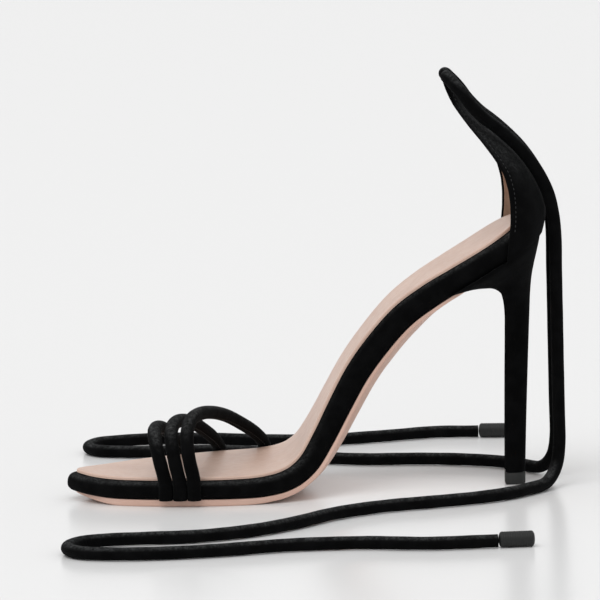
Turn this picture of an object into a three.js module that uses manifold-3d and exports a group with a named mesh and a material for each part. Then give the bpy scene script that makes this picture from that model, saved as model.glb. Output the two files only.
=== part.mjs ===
// A black velvet sandal for the right foot, on a slender high heel, with three toe cords and long ankle ties.
//
// Units are millimetres and +Z is up. While it is built, X runs from the tip of the toe (0) to the heel, and
// -Y is the inner (big toe) side. At the end the shoe is centred over the origin, standing on Z = 0.
// The shoe is built the way it is lasted: a covered insole board bent to the last, a leather sock on it, a
// leather outsole under it that runs on down the front of the heel, a covered heel with its own top piece,
// a heel counter that narrows to a tab, cords over the toes, and two ties sewn to the tab.
import * as THREE from "three";
import { mergeVertices } from "three/addons/utils/BufferGeometryUtils.js";
import Module from "manifold-3d";

const wasm = await Module();
wasm.setup();

// Driving dimensions

const boardLength = 196.8; // insole board, toe tip to back, measured along the floor
const heelHeight = 104.6; // floor to the underside of the board at its back
const ballWidth = 74; // widest place of the board
const outsoleThickness = 3; // floor to the underside of the board under the toes
const toeSpring = 1.8; // lift of the toe tip
const springLength = 24; // from the toe tip to where the sole meets the floor
const fit = 0.3; // glue line between two pieces that are joined
const smallest = 0.01; // edges that cuts leave shorter than this are closed up

const boardAtToe = 7;
const boardAtBall = 7.8;
const boardAtWaist = 9.2;
const boardAtSeat = 9;
const rimUnder = 1.6; // how far the rounded edge of the board pulls in below
const rimTop = 4.2; // how far it rolls in on top

const sockThickness = 1.2;
const sockInset = 3.4; // from the edge of the board to the edge of the sock

const outsoleInset = 1;
const waistBelly = 5.4; // depth of the rounded outsole at the middle of the waist
const waistEdge = 1.9; // depth of the outsole at the edge of the waist
const flapThickness = 1.6; // the outsole where it covers the front of the heel
const flapRecess = 0.7; // how far that flap lies behind the covered edges of the heel
const flapMargin = 1.1; // the covered front of the heel that shows on each side of that flap

const topPieceHeight = 4.9;
const heelTipLength = 8.4; // front to back
const heelTipWidth = 8.6;
const heelTipFront = 180.4; // from the toe tip to the front of the heel tip
const heelSeatFront = 158; // from the toe tip to where the heel meets the waist
const heelSeatWidth = 54.5;
const heelOverhang = 0.4; // how far the back of the heel stands behind the board

const counterHeight = 66; // underside of the board at its back, to the top of the tab
const counterWall = 2;
const counterWidth = 56.8; // outside, at its widest
const counterBulge = 2.5; // how far it stands behind the board at its fullest
const counterLean = 38.7; // from there forward to the back of the tab's top
const tieRootReach = 10.2; // from the middle of the tab out to where a tie begins

const toeCordWidth = 5.5;
const toeCordFlat = 2.2; // thickness of a toe cord where it is pressed under the board
const toeCordHeights = [29.7, 32.1, 35.2]; // middle of each cord at its highest place
const toeCordInner = [40.5, 46.3, 52.1]; // from the toe tip, on the inner side
const toeCordOuter = [48, 64, 83]; // from the toe tip, on the outer side

const tieDiameter = 5.2;
const tieTipDiameter = 6.2;
const tieTipLength = 14;

// Tables: lengths are shares of the sizes above

// Underside of the board from the side, toe to heel.
const bottomLine = [
  { along: 0, rise: 0 },
  { along: 0.366, rise: 0 },
  { along: 0.42, rise: 0.0055 },
  { along: 0.456, rise: 0.0175 },
  { along: 0.49, rise: 0.045 },
  { along: 0.523, rise: 0.099 },
  { along: 0.556, rise: 0.193 },
  { along: 0.5895, rise: 0.305 },
  { along: 0.629, rise: 0.4345 },
  { along: 0.675, rise: 0.5535 },
  { along: 0.72, rise: 0.6505 },
  { along: 0.772, rise: 0.7285 },
  { along: 0.83, rise: 0.7975 },
  { along: 0.889, rise: 0.866 },
  { along: 0.94, rise: 0.928 },
  { along: 1, rise: 1 },
];

// Outline of the flat board pattern: from the shoe's long axis to each edge, as shares of the ball width.
const boardPattern = [
  { along: 0, inner: 0.095, outer: -0.095 },
  { along: 0.01, inner: 0.175, outer: -0.005 },
  { along: 0.037, inner: 0.27, outer: 0.1 },
  { along: 0.083, inner: 0.355, outer: 0.235 },
  { along: 0.145, inner: 0.423, outer: 0.362 },
  { along: 0.215, inner: 0.464, outer: 0.458 },
  { along: 0.285, inner: 0.48, outer: 0.515 },
  { along: 0.35, inner: 0.455, outer: 0.52 },
  { along: 0.42, inner: 0.375, outer: 0.475 },
  { along: 0.51, inner: 0.275, outer: 0.375 },
  { along: 0.6, inner: 0.228, outer: 0.307 },
  { along: 0.69, inner: 0.242, outer: 0.292 },
  { along: 0.785, inner: 0.3, outer: 0.323 },
  { along: 0.87, inner: 0.346, outer: 0.352 },
  { along: 0.935, inner: 0.342, outer: 0.344 },
  { along: 0.975, inner: 0.253, outer: 0.255 },
  { along: 0.994, inner: 0.122, outer: 0.122 },
  { along: 1, inner: 0, outer: 0 },
];

const boardThicknesses = [
  { along: 0, thick: boardAtToe },
  { along: 0.2, thick: boardAtToe },
  { along: 0.4, thick: boardAtBall },
  { along: 0.6, thick: boardAtWaist },
  { along: 1, thick: boardAtSeat },
];

// Edge of the board, from the middle of its underside round to the middle of its top.
const rimProfile = [
  { toMiddle: 1, inset: rimUnder, height: 0 },
  { toMiddle: 0.45, inset: rimUnder, height: 0 },
  { toMiddle: 0, inset: rimUnder, height: 0 },
  { toMiddle: 0, inset: rimUnder * 0.28, height: 0.14 },
  { toMiddle: 0, inset: 0, height: 0.38 },
  { toMiddle: 0, inset: rimTop * 0.02, height: 0.62 },
  { toMiddle: 0, inset: rimTop * 0.21, height: 0.84 },
  { toMiddle: 0, inset: rimTop * 0.57, height: 0.965 },
  { toMiddle: 0, inset: rimTop, height: 1 },
  { toMiddle: 0.45, inset: rimTop, height: 1 },
  { toMiddle: 1, inset: rimTop, height: 1 },
];

// Front of the heel from the side: forward of its tip as a share of the heel seat's reach, and height as a
// share of the heel above its top piece.
const breastLine = [
  { forward: 0, level: 0 },
  { forward: -0.018, level: 0.211 },
  { forward: -0.038, level: 0.411 },
  { forward: -0.06, level: 0.579 },
  { forward: -0.068, level: 0.655 },
  { forward: -0.045, level: 0.71 },
  { forward: 0.031, level: 0.756 },
  { forward: 0.17, level: 0.781 },
  { forward: 0.366, level: 0.7875 },
  { forward: 0.6, level: 0.7865 },
  { forward: 0.82, level: 0.777 },
  { forward: 1, level: 0.7665 },
];

// Heel sections, floor to seat: the matching place on the breast line, how far back and how high the back of
// the section lies, and its width.
const heelSections = [
  { front: 0, back: 0, level: 0, width: 0 },
  { front: 0.18, back: 0.1, level: 0.211, width: 0.005 },
  { front: 0.36, back: 0.21, level: 0.411, width: 0.012 },
  { front: 0.5, back: 0.31, level: 0.579, width: 0.03 },
  { front: 0.58, back: 0.37, level: 0.674, width: 0.065 },
  { front: 0.65, back: 0.42, level: 0.747, width: 0.14 },
  { front: 0.71, back: 0.5, level: 0.811, width: 0.26 },
  { front: 0.78, back: 0.63, level: 0.868, width: 0.46 },
  { front: 0.86, back: 0.8, level: 0.926, width: 0.72 },
  { front: 0.93, back: 0.94, level: 0.979, width: 0.92 },
  { front: 1, back: 1, level: 1.032, width: 1 },
];

// Outline of one heel section, front to back: distance back, and half width.
const heelFrontFlat = 0.86;
const heelOutline = [
  { back: 0, half: 0 },
  { back: 0, half: heelFrontFlat },
  { back: 0.07, half: 0.92 },
  { back: 0.3, half: 1 },
  { back: 0.54, half: 0.98 },
  { back: 0.76, half: 0.82 },
  { back: 0.91, half: 0.53 },
  { back: 0.98, half: 0.22 },
  { back: 1, half: 0 },
];

// Heel counter, outside, from below the board to the top of the tab. Each row is a section: its back and its
// front edge as shares of the lean forward and of the counter height, and its width.
const counterSections = [
  { back: 0.062, backRise: -0.035, front: 0.47, frontRise: -0.19, width: 0.955 },
  { back: 0.026, backRise: 0.036, front: 0.452, frontRise: -0.08, width: 0.98 },
  { back: 0, backRise: 0.108, front: 0.435, frontRise: 0.01, width: 1 },
  { back: 0.008, backRise: 0.188, front: 0.418, frontRise: 0.105, width: 0.99 },
  { back: 0.055, backRise: 0.27, front: 0.415, frontRise: 0.206, width: 0.955 },
  { back: 0.122, backRise: 0.345, front: 0.43, frontRise: 0.3, width: 0.9 },
  { back: 0.2, backRise: 0.418, front: 0.473, frontRise: 0.396, width: 0.825 },
  { back: 0.303, backRise: 0.5, front: 0.562, frontRise: 0.487, width: 0.73 },
  { back: 0.45, backRise: 0.586, front: 0.69, frontRise: 0.59, width: 0.61 },
  { back: 0.602, backRise: 0.658, front: 0.804, frontRise: 0.672, width: 0.5 },
  { back: 0.747, backRise: 0.728, front: 0.897, frontRise: 0.747, width: 0.4 },
  { back: 0.853, backRise: 0.803, front: 0.974, frontRise: 0.815, width: 0.32 },
  { back: 0.928, backRise: 0.882, front: 1.026, frontRise: 0.888, width: 0.262 },
  { back: 0.98, backRise: 0.954, front: 1.06, frontRise: 0.951, width: 0.23 },
  { back: 1, backRise: 1, front: 1.072, frontRise: 0.994, width: 0.218 },
];

// Arch of a toe cord: distance across from the inner to the outer attachment, rise to its highest place,
// and how far it leans to the toe, in cord widths.
const toeCordArch = [
  { across: 0.004, rise: 0.13, lean: 0.06 },
  { across: -0.004, rise: 0.34, lean: 0.22 },
  { across: 0.006, rise: 0.58, lean: 0.44 },
  { across: 0.055, rise: 0.82, lean: 0.7 },
  { across: 0.15, rise: 0.965, lean: 0.92 },
  { across: 0.27, rise: 1, lean: 1 },
  { across: 0.42, rise: 0.95, lean: 0.93 },
  { across: 0.58, rise: 0.82, lean: 0.74 },
  { across: 0.74, rise: 0.61, lean: 0.48 },
  { across: 0.88, rise: 0.385, lean: 0.22 },
  { across: 0.965, rise: 0.19, lean: 0.07 },
];

// Reading a table: a smooth curve through its rows, flat wherever two rows are level

function read(rows, key, column, at) {
  const last = rows.length - 1;
  let i = 0;
  while (i < last - 1 && at > rows[i + 1][key]) i += 1;
  const slope = (n) =>
    (rows[n + 1][column] - rows[n][column]) / (rows[n + 1][key] - rows[n][key]);
  const tangent = (n) => {
    if (n === 0) return slope(0);
    if (n === last) return slope(last - 1);
    const before = slope(n - 1);
    const after = slope(n);
    if (before === 0 || after === 0) return 0;
    const gapBefore = rows[n][key] - rows[n - 1][key];
    const gapAfter = rows[n + 1][key] - rows[n][key];
    return (before * gapAfter + after * gapBefore) / (gapBefore + gapAfter);
  };
  const span = rows[i + 1][key] - rows[i][key];
  const t = THREE.MathUtils.clamp((at - rows[i][key]) / span, 0, 1);
  const t2 = t * t;
  const t3 = t2 * t;
  return (
    (2 * t3 - 3 * t2 + 1) * rows[i][column] +
    (t3 - 2 * t2 + t) * span * tangent(i) +
    (3 * t2 - 2 * t3) * rows[i + 1][column] +
    (t3 - t2) * span * tangent(i + 1)
  );
}

// A line seen from the side, as dense points, which gives its place, direction and normal at a length.
class SideLine {
  constructor(points) {
    this.points = points;
    this.reach = [0];
    for (let i = 1; i < points.length; i += 1) {
      this.reach.push(this.reach[i - 1] + points[i].distanceTo(points[i - 1]));
    }
    this.length = this.reach[this.reach.length - 1];
  }
  at(length) {
    const { points, reach } = this;
    let i = 0;
    while (i < points.length - 2 && length > reach[i + 1]) i += 1;
    const share = (length - reach[i]) / (reach[i + 1] - reach[i]);
    const place = points[i].clone().lerp(points[i + 1], share);
    const before = points[Math.max(0, i - 1)];
    const after = points[Math.min(points.length - 1, i + 2)];
    const way = after.clone().sub(before).normalize();
    return { place, normal: new THREE.Vector2(-way.y, way.x) };
  }
  // The point that lies `height` off the line at that length, and `side` across the shoe.
  put(length, side, height) {
    const { place, normal } = this.at(length);
    return new THREE.Vector3(place.x + normal.x * height, side, place.y + normal.y * height);
  }
  // The length at which the line reaches `x`.
  lengthAt(x) {
    let i = 0;
    while (i < this.points.length - 2 && x > this.points[i + 1].x) i += 1;
    const share = (x - this.points[i].x) / (this.points[i + 1].x - this.points[i].x);
    return THREE.MathUtils.lerp(this.reach[i], this.reach[i + 1], share);
  }
}

function boardUnderside(x) {
  const rise = read(bottomLine, "along", "rise", x / boardLength);
  const spring = toeSpring * Math.max(0, 1 - x / springLength) ** 2;
  return outsoleThickness + rise * (heelHeight - outsoleThickness) + spring;
}

const lineSteps = 240;
const feather = new SideLine(
  Array.from({ length: lineSteps + 1 }, (_, i) => {
    const x = (boardLength * i) / lineSteps;
    return new THREE.Vector2(x, boardUnderside(x));
  }),
);

// Closed meshes and solids

// A closed mesh from rows of points, where each pair of neighbouring rows is joined by faces.
class Skin {
  constructor() {
    this.corners = [];
  }
  face(a, b, c) {
    this.corners.push(a, b, c);
  }
  quad(a, b, c, d) {
    this.face(a, b, c);
    this.face(a, c, d);
  }
  // Corners that coincide are merged, faces that this closes up are left out, and all face outwards.
  solid() {
    const index = new Map();
    const places = [];
    const numbers = this.corners.map((p) => {
      const name = [p.x, p.y, p.z].map((v) => Math.round(v * 1e4)).join();
      if (!index.has(name)) {
        index.set(name, places.length / 3);
        places.push(p.x, p.y, p.z);
      }
      return index.get(name);
    });
    const kept = [];
    let volume = 0;
    for (let i = 0; i < numbers.length; i += 3) {
      const [a, b, c] = numbers.slice(i, i + 3);
      if (a !== b && b !== c && a !== c) kept.push(a, b, c);
      const [p, q, r] = this.corners.slice(i, i + 3);
      volume += p.dot(new THREE.Vector3().crossVectors(q, r));
    }
    if (volume < 0) kept.reverse();
    return new wasm.Manifold(
      new wasm.Mesh({
        numProp: 3,
        vertProperties: new Float32Array(places),
        triVerts: new Uint32Array(kept),
      }),
    );
  }
}

// Two halves that meet in the middle, each a grid of points [station][profile], closed at both ends.
function joinHalves(inner, outer) {
  const skin = new Skin();
  const stations = inner.length - 1;
  const turns = inner[0].length - 1;
  for (let i = 0; i < stations; i += 1) {
    for (let j = 0; j < turns; j += 1) {
      skin.quad(inner[i][j], inner[i][j + 1], inner[i + 1][j + 1], inner[i + 1][j]);
      skin.quad(outer[i][j], outer[i + 1][j], outer[i + 1][j + 1], outer[i][j + 1]);
    }
  }
  for (let j = 0; j < turns; j += 1) {
    skin.quad(inner[0][j], outer[0][j], outer[0][j + 1], inner[0][j + 1]);
    skin.quad(
      inner[stations][j],
      inner[stations][j + 1],
      outer[stations][j + 1],
      outer[stations][j],
    );
  }
  return skin.solid();
}

// Closed rings of points, one after another, with a flat face at each end.
function loft(rings) {
  const skin = new Skin();
  const count = rings[0].length;
  const middle = (ring) =>
    ring.reduce((sum, p) => sum.add(p), new THREE.Vector3()).divideScalar(count);
  const first = rings[0];
  const last = rings[rings.length - 1];
  const [start, end] = [middle(first), middle(last)];
  for (let j = 0; j < count; j += 1) {
    const next = (j + 1) % count;
    for (let i = 0; i < rings.length - 1; i += 1) {
      skin.quad(rings[i][j], rings[i][next], rings[i + 1][next], rings[i + 1][j]);
    }
    skin.face(start, first[next], first[j]);
    skin.face(end, last[j], last[next]);
  }
  return skin.solid();
}

// A wall between an outside and an inside grid of points [row][column].
function wall(outside, inside) {
  const skin = new Skin();
  const rows = outside.length - 1;
  const columns = outside[0].length - 1;
  for (let i = 0; i < rows; i += 1) {
    for (let j = 0; j < columns; j += 1) {
      skin.quad(outside[i][j], outside[i][j + 1], outside[i + 1][j + 1], outside[i + 1][j]);
      skin.quad(inside[i][j], inside[i + 1][j], inside[i + 1][j + 1], inside[i][j + 1]);
    }
    skin.quad(outside[i][0], outside[i + 1][0], inside[i + 1][0], inside[i][0]);
    skin.quad(outside[i][columns], inside[i][columns], inside[i + 1][columns], outside[i + 1][columns]);
  }
  for (let j = 0; j < columns; j += 1) {
    skin.quad(outside[0][j], inside[0][j], inside[0][j + 1], outside[0][j + 1]);
    skin.quad(outside[rows][j], outside[rows][j + 1], inside[rows][j + 1], inside[rows][j]);
  }
  return skin.solid();
}

// A three.js geometry as a solid.
function solidOf(geometry) {
  const bare = new THREE.BufferGeometry();
  bare.setAttribute("position", geometry.getAttribute("position"));
  if (geometry.index) bare.setIndex(geometry.index);
  const merged = mergeVertices(bare, 1e-4);
  return new wasm.Manifold(
    new wasm.Mesh({
      numProp: 3,
      vertProperties: merged.attributes.position.array,
      triVerts: new Uint32Array(merged.index.array),
    }),
  );
}

// Outline of the board: stations bunch up at the toe and the heel, where it is round

const shareAngle = (share) => Math.acos(1 - 2 * THREE.MathUtils.clamp(share, 0, 1)) / Math.PI;
const patternRows = boardPattern.map((row) => ({ ...row, turn: shareAngle(row.along) }));

function boardEdge(turn, hand) {
  const column = hand < 0 ? "inner" : "outer";
  const along = ((1 - Math.cos(Math.PI * turn)) / 2) * feather.length;
  return new THREE.Vector2(along, hand * ballWidth * read(patternRows, "turn", column, turn));
}

// Inward directions along two edges that run side by side, closed at the start and perhaps at the end.
function inwardWays(edge, other, hand, closedEnd) {
  const last = edge.length - 1;
  return edge.map((_, i) => {
    const before = i > 0 ? edge[i - 1] : other[1];
    const after = i < last ? edge[i + 1] : closedEnd ? other[last - 1] : edge[last];
    const way = after.clone().sub(before).normalize();
    return new THREE.Vector2(way.y, -way.x).multiplyScalar(hand);
  });
}

// A sheet bent along `line`: its flat outline is `edges`, and `profile` turns round its edge. `shape` gives
// the height of a profile row at a station, and `middle` the point in the middle of the sheet.
function bentSheet({ line, edges, profile, grow, middle, shape, closedEnd }) {
  const halves = [-1, 1].map((hand, n) => {
    const edge = edges[n];
    const ways = inwardWays(edge, edges[1 - n], hand, closedEnd);
    return edge.map((point, i) =>
      profile.map((row) => {
        const rim = point.clone().addScaledVector(ways[i], row.inset - grow);
        const flat = rim.lerp(middle(i), row.toMiddle);
        return line.put(flat.x, flat.y, shape(flat, row, i));
      }),
    );
  });
  return joinHalves(halves[0], halves[1]);
}

const boardStations = 42;
const roundEnd = 12; // length over which the middle line stays back from the round ends

function boardMiddle(point) {
  const along = THREE.MathUtils.clamp(point.x, roundEnd, feather.length - roundEnd);
  const turn = shareAngle(along / feather.length);
  const across = (boardEdge(turn, -1).y + boardEdge(turn, 1).y) / 2;
  return new THREE.Vector2(along, across);
}

const boardTurns = Array.from({ length: boardStations + 1 }, (_, i) => i / boardStations);
const boardEdges = [-1, 1].map((hand) => boardTurns.map((turn) => boardEdge(turn, hand)));

function boardThickness(along) {
  return read(boardThicknesses, "along", "thick", along / feather.length);
}

// The covered insole board, larger all round by `grow`.
function boardSolid(grow) {
  return bentSheet({
    line: feather,
    edges: boardEdges,
    profile: rimProfile,
    grow,
    closedEnd: true,
    middle: (i) => boardMiddle(boardEdges[0][i]),
    shape: (flat, row) => row.height * boardThickness(flat.x) + grow * (2 * row.height - 1),
  });
}

// The leather sock on top of the board

function sockSolid() {
  const profile = [
    { toMiddle: 1, inset: sockInset, height: 0 },
    { toMiddle: 0.5, inset: sockInset, height: 0 },
    { toMiddle: 0, inset: sockInset, height: 0 },
    { toMiddle: 0, inset: sockInset, height: 0.7 },
    { toMiddle: 0, inset: sockInset + 0.3 * sockThickness, height: 1 },
    { toMiddle: 0.5, inset: sockInset, height: 1 },
    { toMiddle: 1, inset: sockInset, height: 1 },
  ];
  return bentSheet({
    line: feather,
    edges: boardEdges,
    profile,
    grow: 0,
    closedEnd: true,
    middle: (i) => boardMiddle(boardEdges[0][i]),
    shape: (flat, row) => boardThickness(flat.x) + fit + row.height * sockThickness,
  });
}

// Front of the heel, from the heel tip up and forward to the waist

const seatReach = heelTipFront - heelSeatFront;
const heelLevel = (level) => THREE.MathUtils.lerp(topPieceHeight + fit, heelHeight, level);
const breast = new THREE.CatmullRomCurve3(
  breastLine.map(
    (row) => new THREE.Vector3(heelTipFront - row.forward * seatReach, 0, heelLevel(row.level)),
  ),
);

// Width of the heel, at a share of the way up and along the line of its front.
function heelWidth(share) {
  const width = read(heelSections, "front", "width", share);
  return THREE.MathUtils.lerp(heelTipWidth, heelSeatWidth, width);
}

// Share of the way along the front of the heel that lies nearest to a place.
function breastShare(place) {
  let best = 0;
  for (let share = 0; share <= 1; share += 0.01) {
    const now = breast.getPointAt(share);
    const then = breast.getPointAt(best);
    const gap = (p) => Math.hypot(p.x - place.x, p.z - place.y);
    if (gap(now) < gap(then)) best = share;
  }
  return best;
}

// The outsole: under the board to the waist, then on down the front of the heel

const breastSteps = 60;
const flapBack = flapRecess + flapThickness;
const flapLine = Array.from({ length: breastSteps + 1 }, (_, i) => {
  const share = 1 - i / breastSteps;
  const place = breast.getPointAt(share);
  const way = breast.getTangentAt(share);
  return new THREE.Vector2(place.x + way.z * flapBack, place.z - way.x * flapBack);
}).filter((p) => p.y < boardUnderside(p.x) - fit);
const waistEnd = flapLine[0].x - 7; // where the sole line bends away from the board
const soleLine = new SideLine([
  ...feather.points.filter((p) => p.x < waistEnd),
  ...new THREE.SplineCurve([
    feather.at(feather.lengthAt(waistEnd)).place,
    ...flapLine.filter((_, i) => (flapLine.length - 1 - i) % 2 === 0),
  ]).getPoints(120),
]);
const flapStart = feather.lengthAt(waistEnd);
const flapLength = soleLine.length - flapStart;

const outsoleDepths = [
  { along: 0, middle: outsoleThickness, edge: outsoleThickness },
  { along: 0.34, middle: outsoleThickness, edge: outsoleThickness },
  { along: 0.6, middle: waistBelly, edge: waistEdge },
  { along: 0.88, middle: waistBelly, edge: waistEdge },
  { along: 1, middle: flapThickness, edge: flapThickness },
];

const soleStations = 28;
const flapStations = 18;
const flapTurn = shareAngle(flapStart / feather.length);
const soleTurns = Array.from({ length: soleStations + 1 }, (_, i) => (flapTurn * i) / soleStations);
const soleEdges = [-1, 1].map((hand) => {
  const sole = soleTurns.map((turn) => boardEdge(turn, hand));
  const last = sole[soleStations];
  const flap = Array.from({ length: flapStations }, (_, i) => {
    const along = flapStart + (flapLength * (i + 1)) / flapStations;
    const share = breastShare(soleLine.at(along).place);
    const half = (heelWidth(share) / 2) * heelFrontFlat - flapMargin + outsoleInset;
    const blend = THREE.MathUtils.smoothstep(along - flapStart, 0, 10);
    return new THREE.Vector2(along, THREE.MathUtils.lerp(last.y, hand * half, blend));
  });
  return [...sole, ...flap];
});

const spare = 1; // the outsole is made this much too thick on top, and the board then cuts it to fit
const leastHeel = 2; // where the heel over the flap would be thinner than this, the outsole fills the room

function filling(along) {
  const { place } = soleLine.at(along);
  const room = boardUnderside(place.x) - place.y;
  return room < leastHeel ? room + spare : 0;
}

// The outsole, larger all round by `grow`, and reaching further down or forward by `reach`.
function outsoleSolid(grow, reach) {
  const profile = [
    { toMiddle: 1, inset: rimUnder + 1, fills: true },
    { toMiddle: 0.5, inset: rimUnder + 1, fills: true },
    { toMiddle: 0, inset: rimUnder + 1, fills: true },
    { toMiddle: 0, inset: outsoleInset, depth: 0 },
    { toMiddle: 0, inset: outsoleInset, depth: 0.75 },
    { toMiddle: 0, inset: outsoleInset * 1.5, depth: 1 },
    { toMiddle: 0.3, inset: outsoleInset * 1.5, depth: 1 },
    { toMiddle: 0.62, inset: outsoleInset * 1.5, depth: 1 },
    { toMiddle: 1, inset: outsoleInset * 1.5, depth: 1 },
  ];
  const middle = (i) => {
    const point = soleEdges[0][i];
    const along = Math.max(point.x, roundEnd);
    if (along < flapStart) return boardMiddle(new THREE.Vector2(along, 0));
    return new THREE.Vector2(along, (point.y + soleEdges[1][i].y) / 2);
  };
  return bentSheet({
    line: soleLine,
    edges: soleEdges,
    profile,
    grow,
    closedEnd: false,
    middle,
    shape: (flat, row) => {
      if (row.fills) return grow + filling(flat.x);
      if (row.depth === 0) return grow - fit;
      const along = flat.x / flapStart;
      const share = Math.min(along, 1);
      const edge = read(outsoleDepths, "along", "edge", share);
      const belly = read(outsoleDepths, "along", "middle", share) - edge;
      const crown = 1 - (1 - row.toMiddle) ** 2;
      return -(edge * row.depth + belly * crown) - grow - reach;
    },
  });
}

// Everything above the underside of the board, lifted by `height`: it cuts what stands against the board

function aboveBoard(height) {
  const far = 60;
  const line = feather.points.map((_, i) => {
    const { place, normal } = feather.at((feather.length * i) / lineSteps);
    return place.clone().addScaledVector(normal, height);
  });
  const way = line[lineSteps].clone().sub(line[lineSteps - 4]).normalize();
  const end = line[lineSteps].clone().addScaledVector(way, far);
  const start = line[0].clone().add(new THREE.Vector2(-far, 0));
  const top = heelHeight + 4 * far;
  const shape = new THREE.Shape([
    start,
    ...line.filter((_, i) => i % 4 === 0),
    end,
    new THREE.Vector2(end.x, top),
    new THREE.Vector2(start.x, top),
  ]);
  const block = new THREE.ExtrudeGeometry(shape, { depth: 4 * far, bevelEnabled: false });
  block.translate(0, 0, -2 * far).rotateX(Math.PI / 2);
  return solidOf(block);
}

// The heel and its top piece

function heelRing(front, back, halfWidth) {
  const side = heelOutline.map((row) => ({
    place: front.clone().lerp(back, row.back),
    across: row.half * halfWidth,
  }));
  const ring = side.map((p) => new THREE.Vector3(p.place.x, p.across, p.place.y));
  const mirror = side
    .slice(1, -1)
    .reverse()
    .map((p) => new THREE.Vector3(p.place.x, -p.across, p.place.y));
  return [...ring, ...mirror];
}

function heelBlank() {
  const seatBack = boardLength + heelOverhang;
  const tipBack = heelTipFront + heelTipLength;
  const rings = 20;
  return loft(
    Array.from({ length: rings + 1 }, (_, i) => {
      const at = i / rings;
      const section = (column) => read(heelSections, "front", column, at);
      const front = breast.getPointAt(at);
      const back = new THREE.Vector2(
        THREE.MathUtils.lerp(tipBack, seatBack, section("back")),
        heelLevel(section("level")),
      );
      return heelRing(new THREE.Vector2(front.x, front.z), back, heelWidth(at) / 2);
    }),
  );
}

function topPieceSolid() {
  const ring = (height, shrink) =>
    heelRing(
      new THREE.Vector2(heelTipFront + shrink, height),
      new THREE.Vector2(heelTipFront + heelTipLength - shrink, height),
      heelTipWidth / 2 - shrink,
    );
  const edge = 0.4; // worn edge of the rubber
  return loft([ring(0, edge), ring(edge, 0), ring(topPieceHeight, 0)]);
}

// The heel counter, with the roots of the two ties

const counterColumns = 18;

function counterPoint(at, turn, inset) {
  const section = (column) => {
    const rows = counterSections.map((row, n) => ({ ...row, n }));
    return read(rows, "n", column, at);
  };
  const fullest = boardLength + counterBulge;
  const end = (side) =>
    new THREE.Vector2(
      fullest - section(side) * counterLean,
      heelHeight + section(`${side}Rise`) * counterHeight,
    );
  const front = end("front");
  const back = end("back");
  const inward = front.clone().sub(back).normalize();
  const centre = front;
  const depth = front.distanceTo(back) - inset;
  const half = (section("width") * counterWidth) / 2 - inset;
  const angle = (turn * Math.PI) / 2;
  const place = centre.clone().addScaledVector(inward, -depth * Math.cos(angle));
  return new THREE.Vector3(place.x, half * Math.sin(angle), place.y);
}

function counterShell() {
  const rows = counterSections.length - 1;
  const steps = 17;
  const grid = (inset) =>
    Array.from({ length: steps + 1 }, (_, i) =>
      Array.from({ length: counterColumns + 1 }, (_unused, j) =>
        counterPoint((rows * i) / steps, (2 * j) / counterColumns - 1, inset),
      ),
    );
  return wall(grid(0), grid(counterWall));
}

// A round cord along hand-chosen points, with flat ends.
function cord(points, diameter, sides, steps) {
  const path = new THREE.CatmullRomCurve3(points, false, "centripetal");
  const round = new THREE.Shape(
    Array.from({ length: sides }, (_, i) => {
      const angle = (2 * Math.PI * (i + 0.5)) / sides;
      return new THREE.Vector2(Math.cos(angle), Math.sin(angle)).multiplyScalar(diameter / 2);
    }),
  );
  return new THREE.ExtrudeGeometry(round, { extrudePath: path, steps, bevelEnabled: false });
}

// Places on the tab's top, across to one hand: forward of the tab, out from its middle, up from its top.
const tabTop = () => {
  const last = counterSections[counterSections.length - 1];
  return {
    x: boardLength + counterBulge - last.back * counterLean,
    z: heelHeight + last.backRise * counterHeight,
  };
};

function tieRootPoints(hand) {
  const top = tabTop();
  const at = (forward, out, up) =>
    new THREE.Vector3(top.x - forward, hand * out * tieRootReach, top.z + up);
  return [
    at(0.6, 0.19, -4.6),
    at(1.1, 0.33, -2.4),
    at(1.2, 0.57, -1.1),
    at(0.5, 0.81, -1.4),
    at(-0.8, 1, -2.8),
  ];
}

function counterSolid() {
  let solid = counterShell().intersect(aboveBoard(0)).subtract(boardSolid(fit));
  for (const hand of [-1, 1]) {
    const root = cord(tieRootPoints(hand), tieDiameter, 8, 6);
    solid = solid.add(solidOf(root));
  }
  return solid.simplify(smallest);
}

// The heel and the outsole, cut clear of their neighbours

function heelSolid() {
  const channel = outsoleSolid(fit, 2 * flapBack);
  return heelBlank().subtract(aboveBoard(-fit)).subtract(channel).simplify(smallest);
}

function soleSolid() {
  const tip = new THREE.BoxGeometry(60, 60, 40);
  tip.translate(heelTipFront, 0, topPieceHeight + fit - 20);
  const floor = new THREE.BoxGeometry(600, 200, 60);
  floor.translate(0, 0, -30);
  const above = boardSolid(fit).add(solidOf(tip));
  return outsoleSolid(0, 0).subtract(above).subtract(solidOf(floor)).simplify(smallest);
}

// The toe cords: round over the toes, pressed flat where they are tucked in under the edge of the board

const cordSides = 8;
const cordRings = 30;

function edgeAt(x, hand) {
  const along = feather.lengthAt(x);
  return Math.abs(boardEdge(shareAngle(along / feather.length), hand).y);
}

function toeCordLine(inner, outer, peak) {
  const half = toeCordWidth / 2;
  const foot = (x, hand) => {
    const y = hand * edgeAt(x, hand);
    const base = boardUnderside(x);
    return [
      new THREE.Vector3(x, y + hand * 0.9, base - 0.1),
      new THREE.Vector3(x, y + hand * 1.55, base + 2.7),
      new THREE.Vector3(x, y + hand * (half - 0.3), base + 6),
    ];
  };
  const start = foot(inner, -1);
  const end = foot(outer, 1);
  const arch = toeCordArch.map((row) => {
    const place = start[2].clone().lerp(end[2], row.across);
    place.x -= row.lean * toeCordWidth;
    place.z += row.rise * (peak - place.z);
    return place;
  });
  return new THREE.CatmullRomCurve3([...start, ...arch, ...end.reverse()], false, "centripetal");
}

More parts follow.
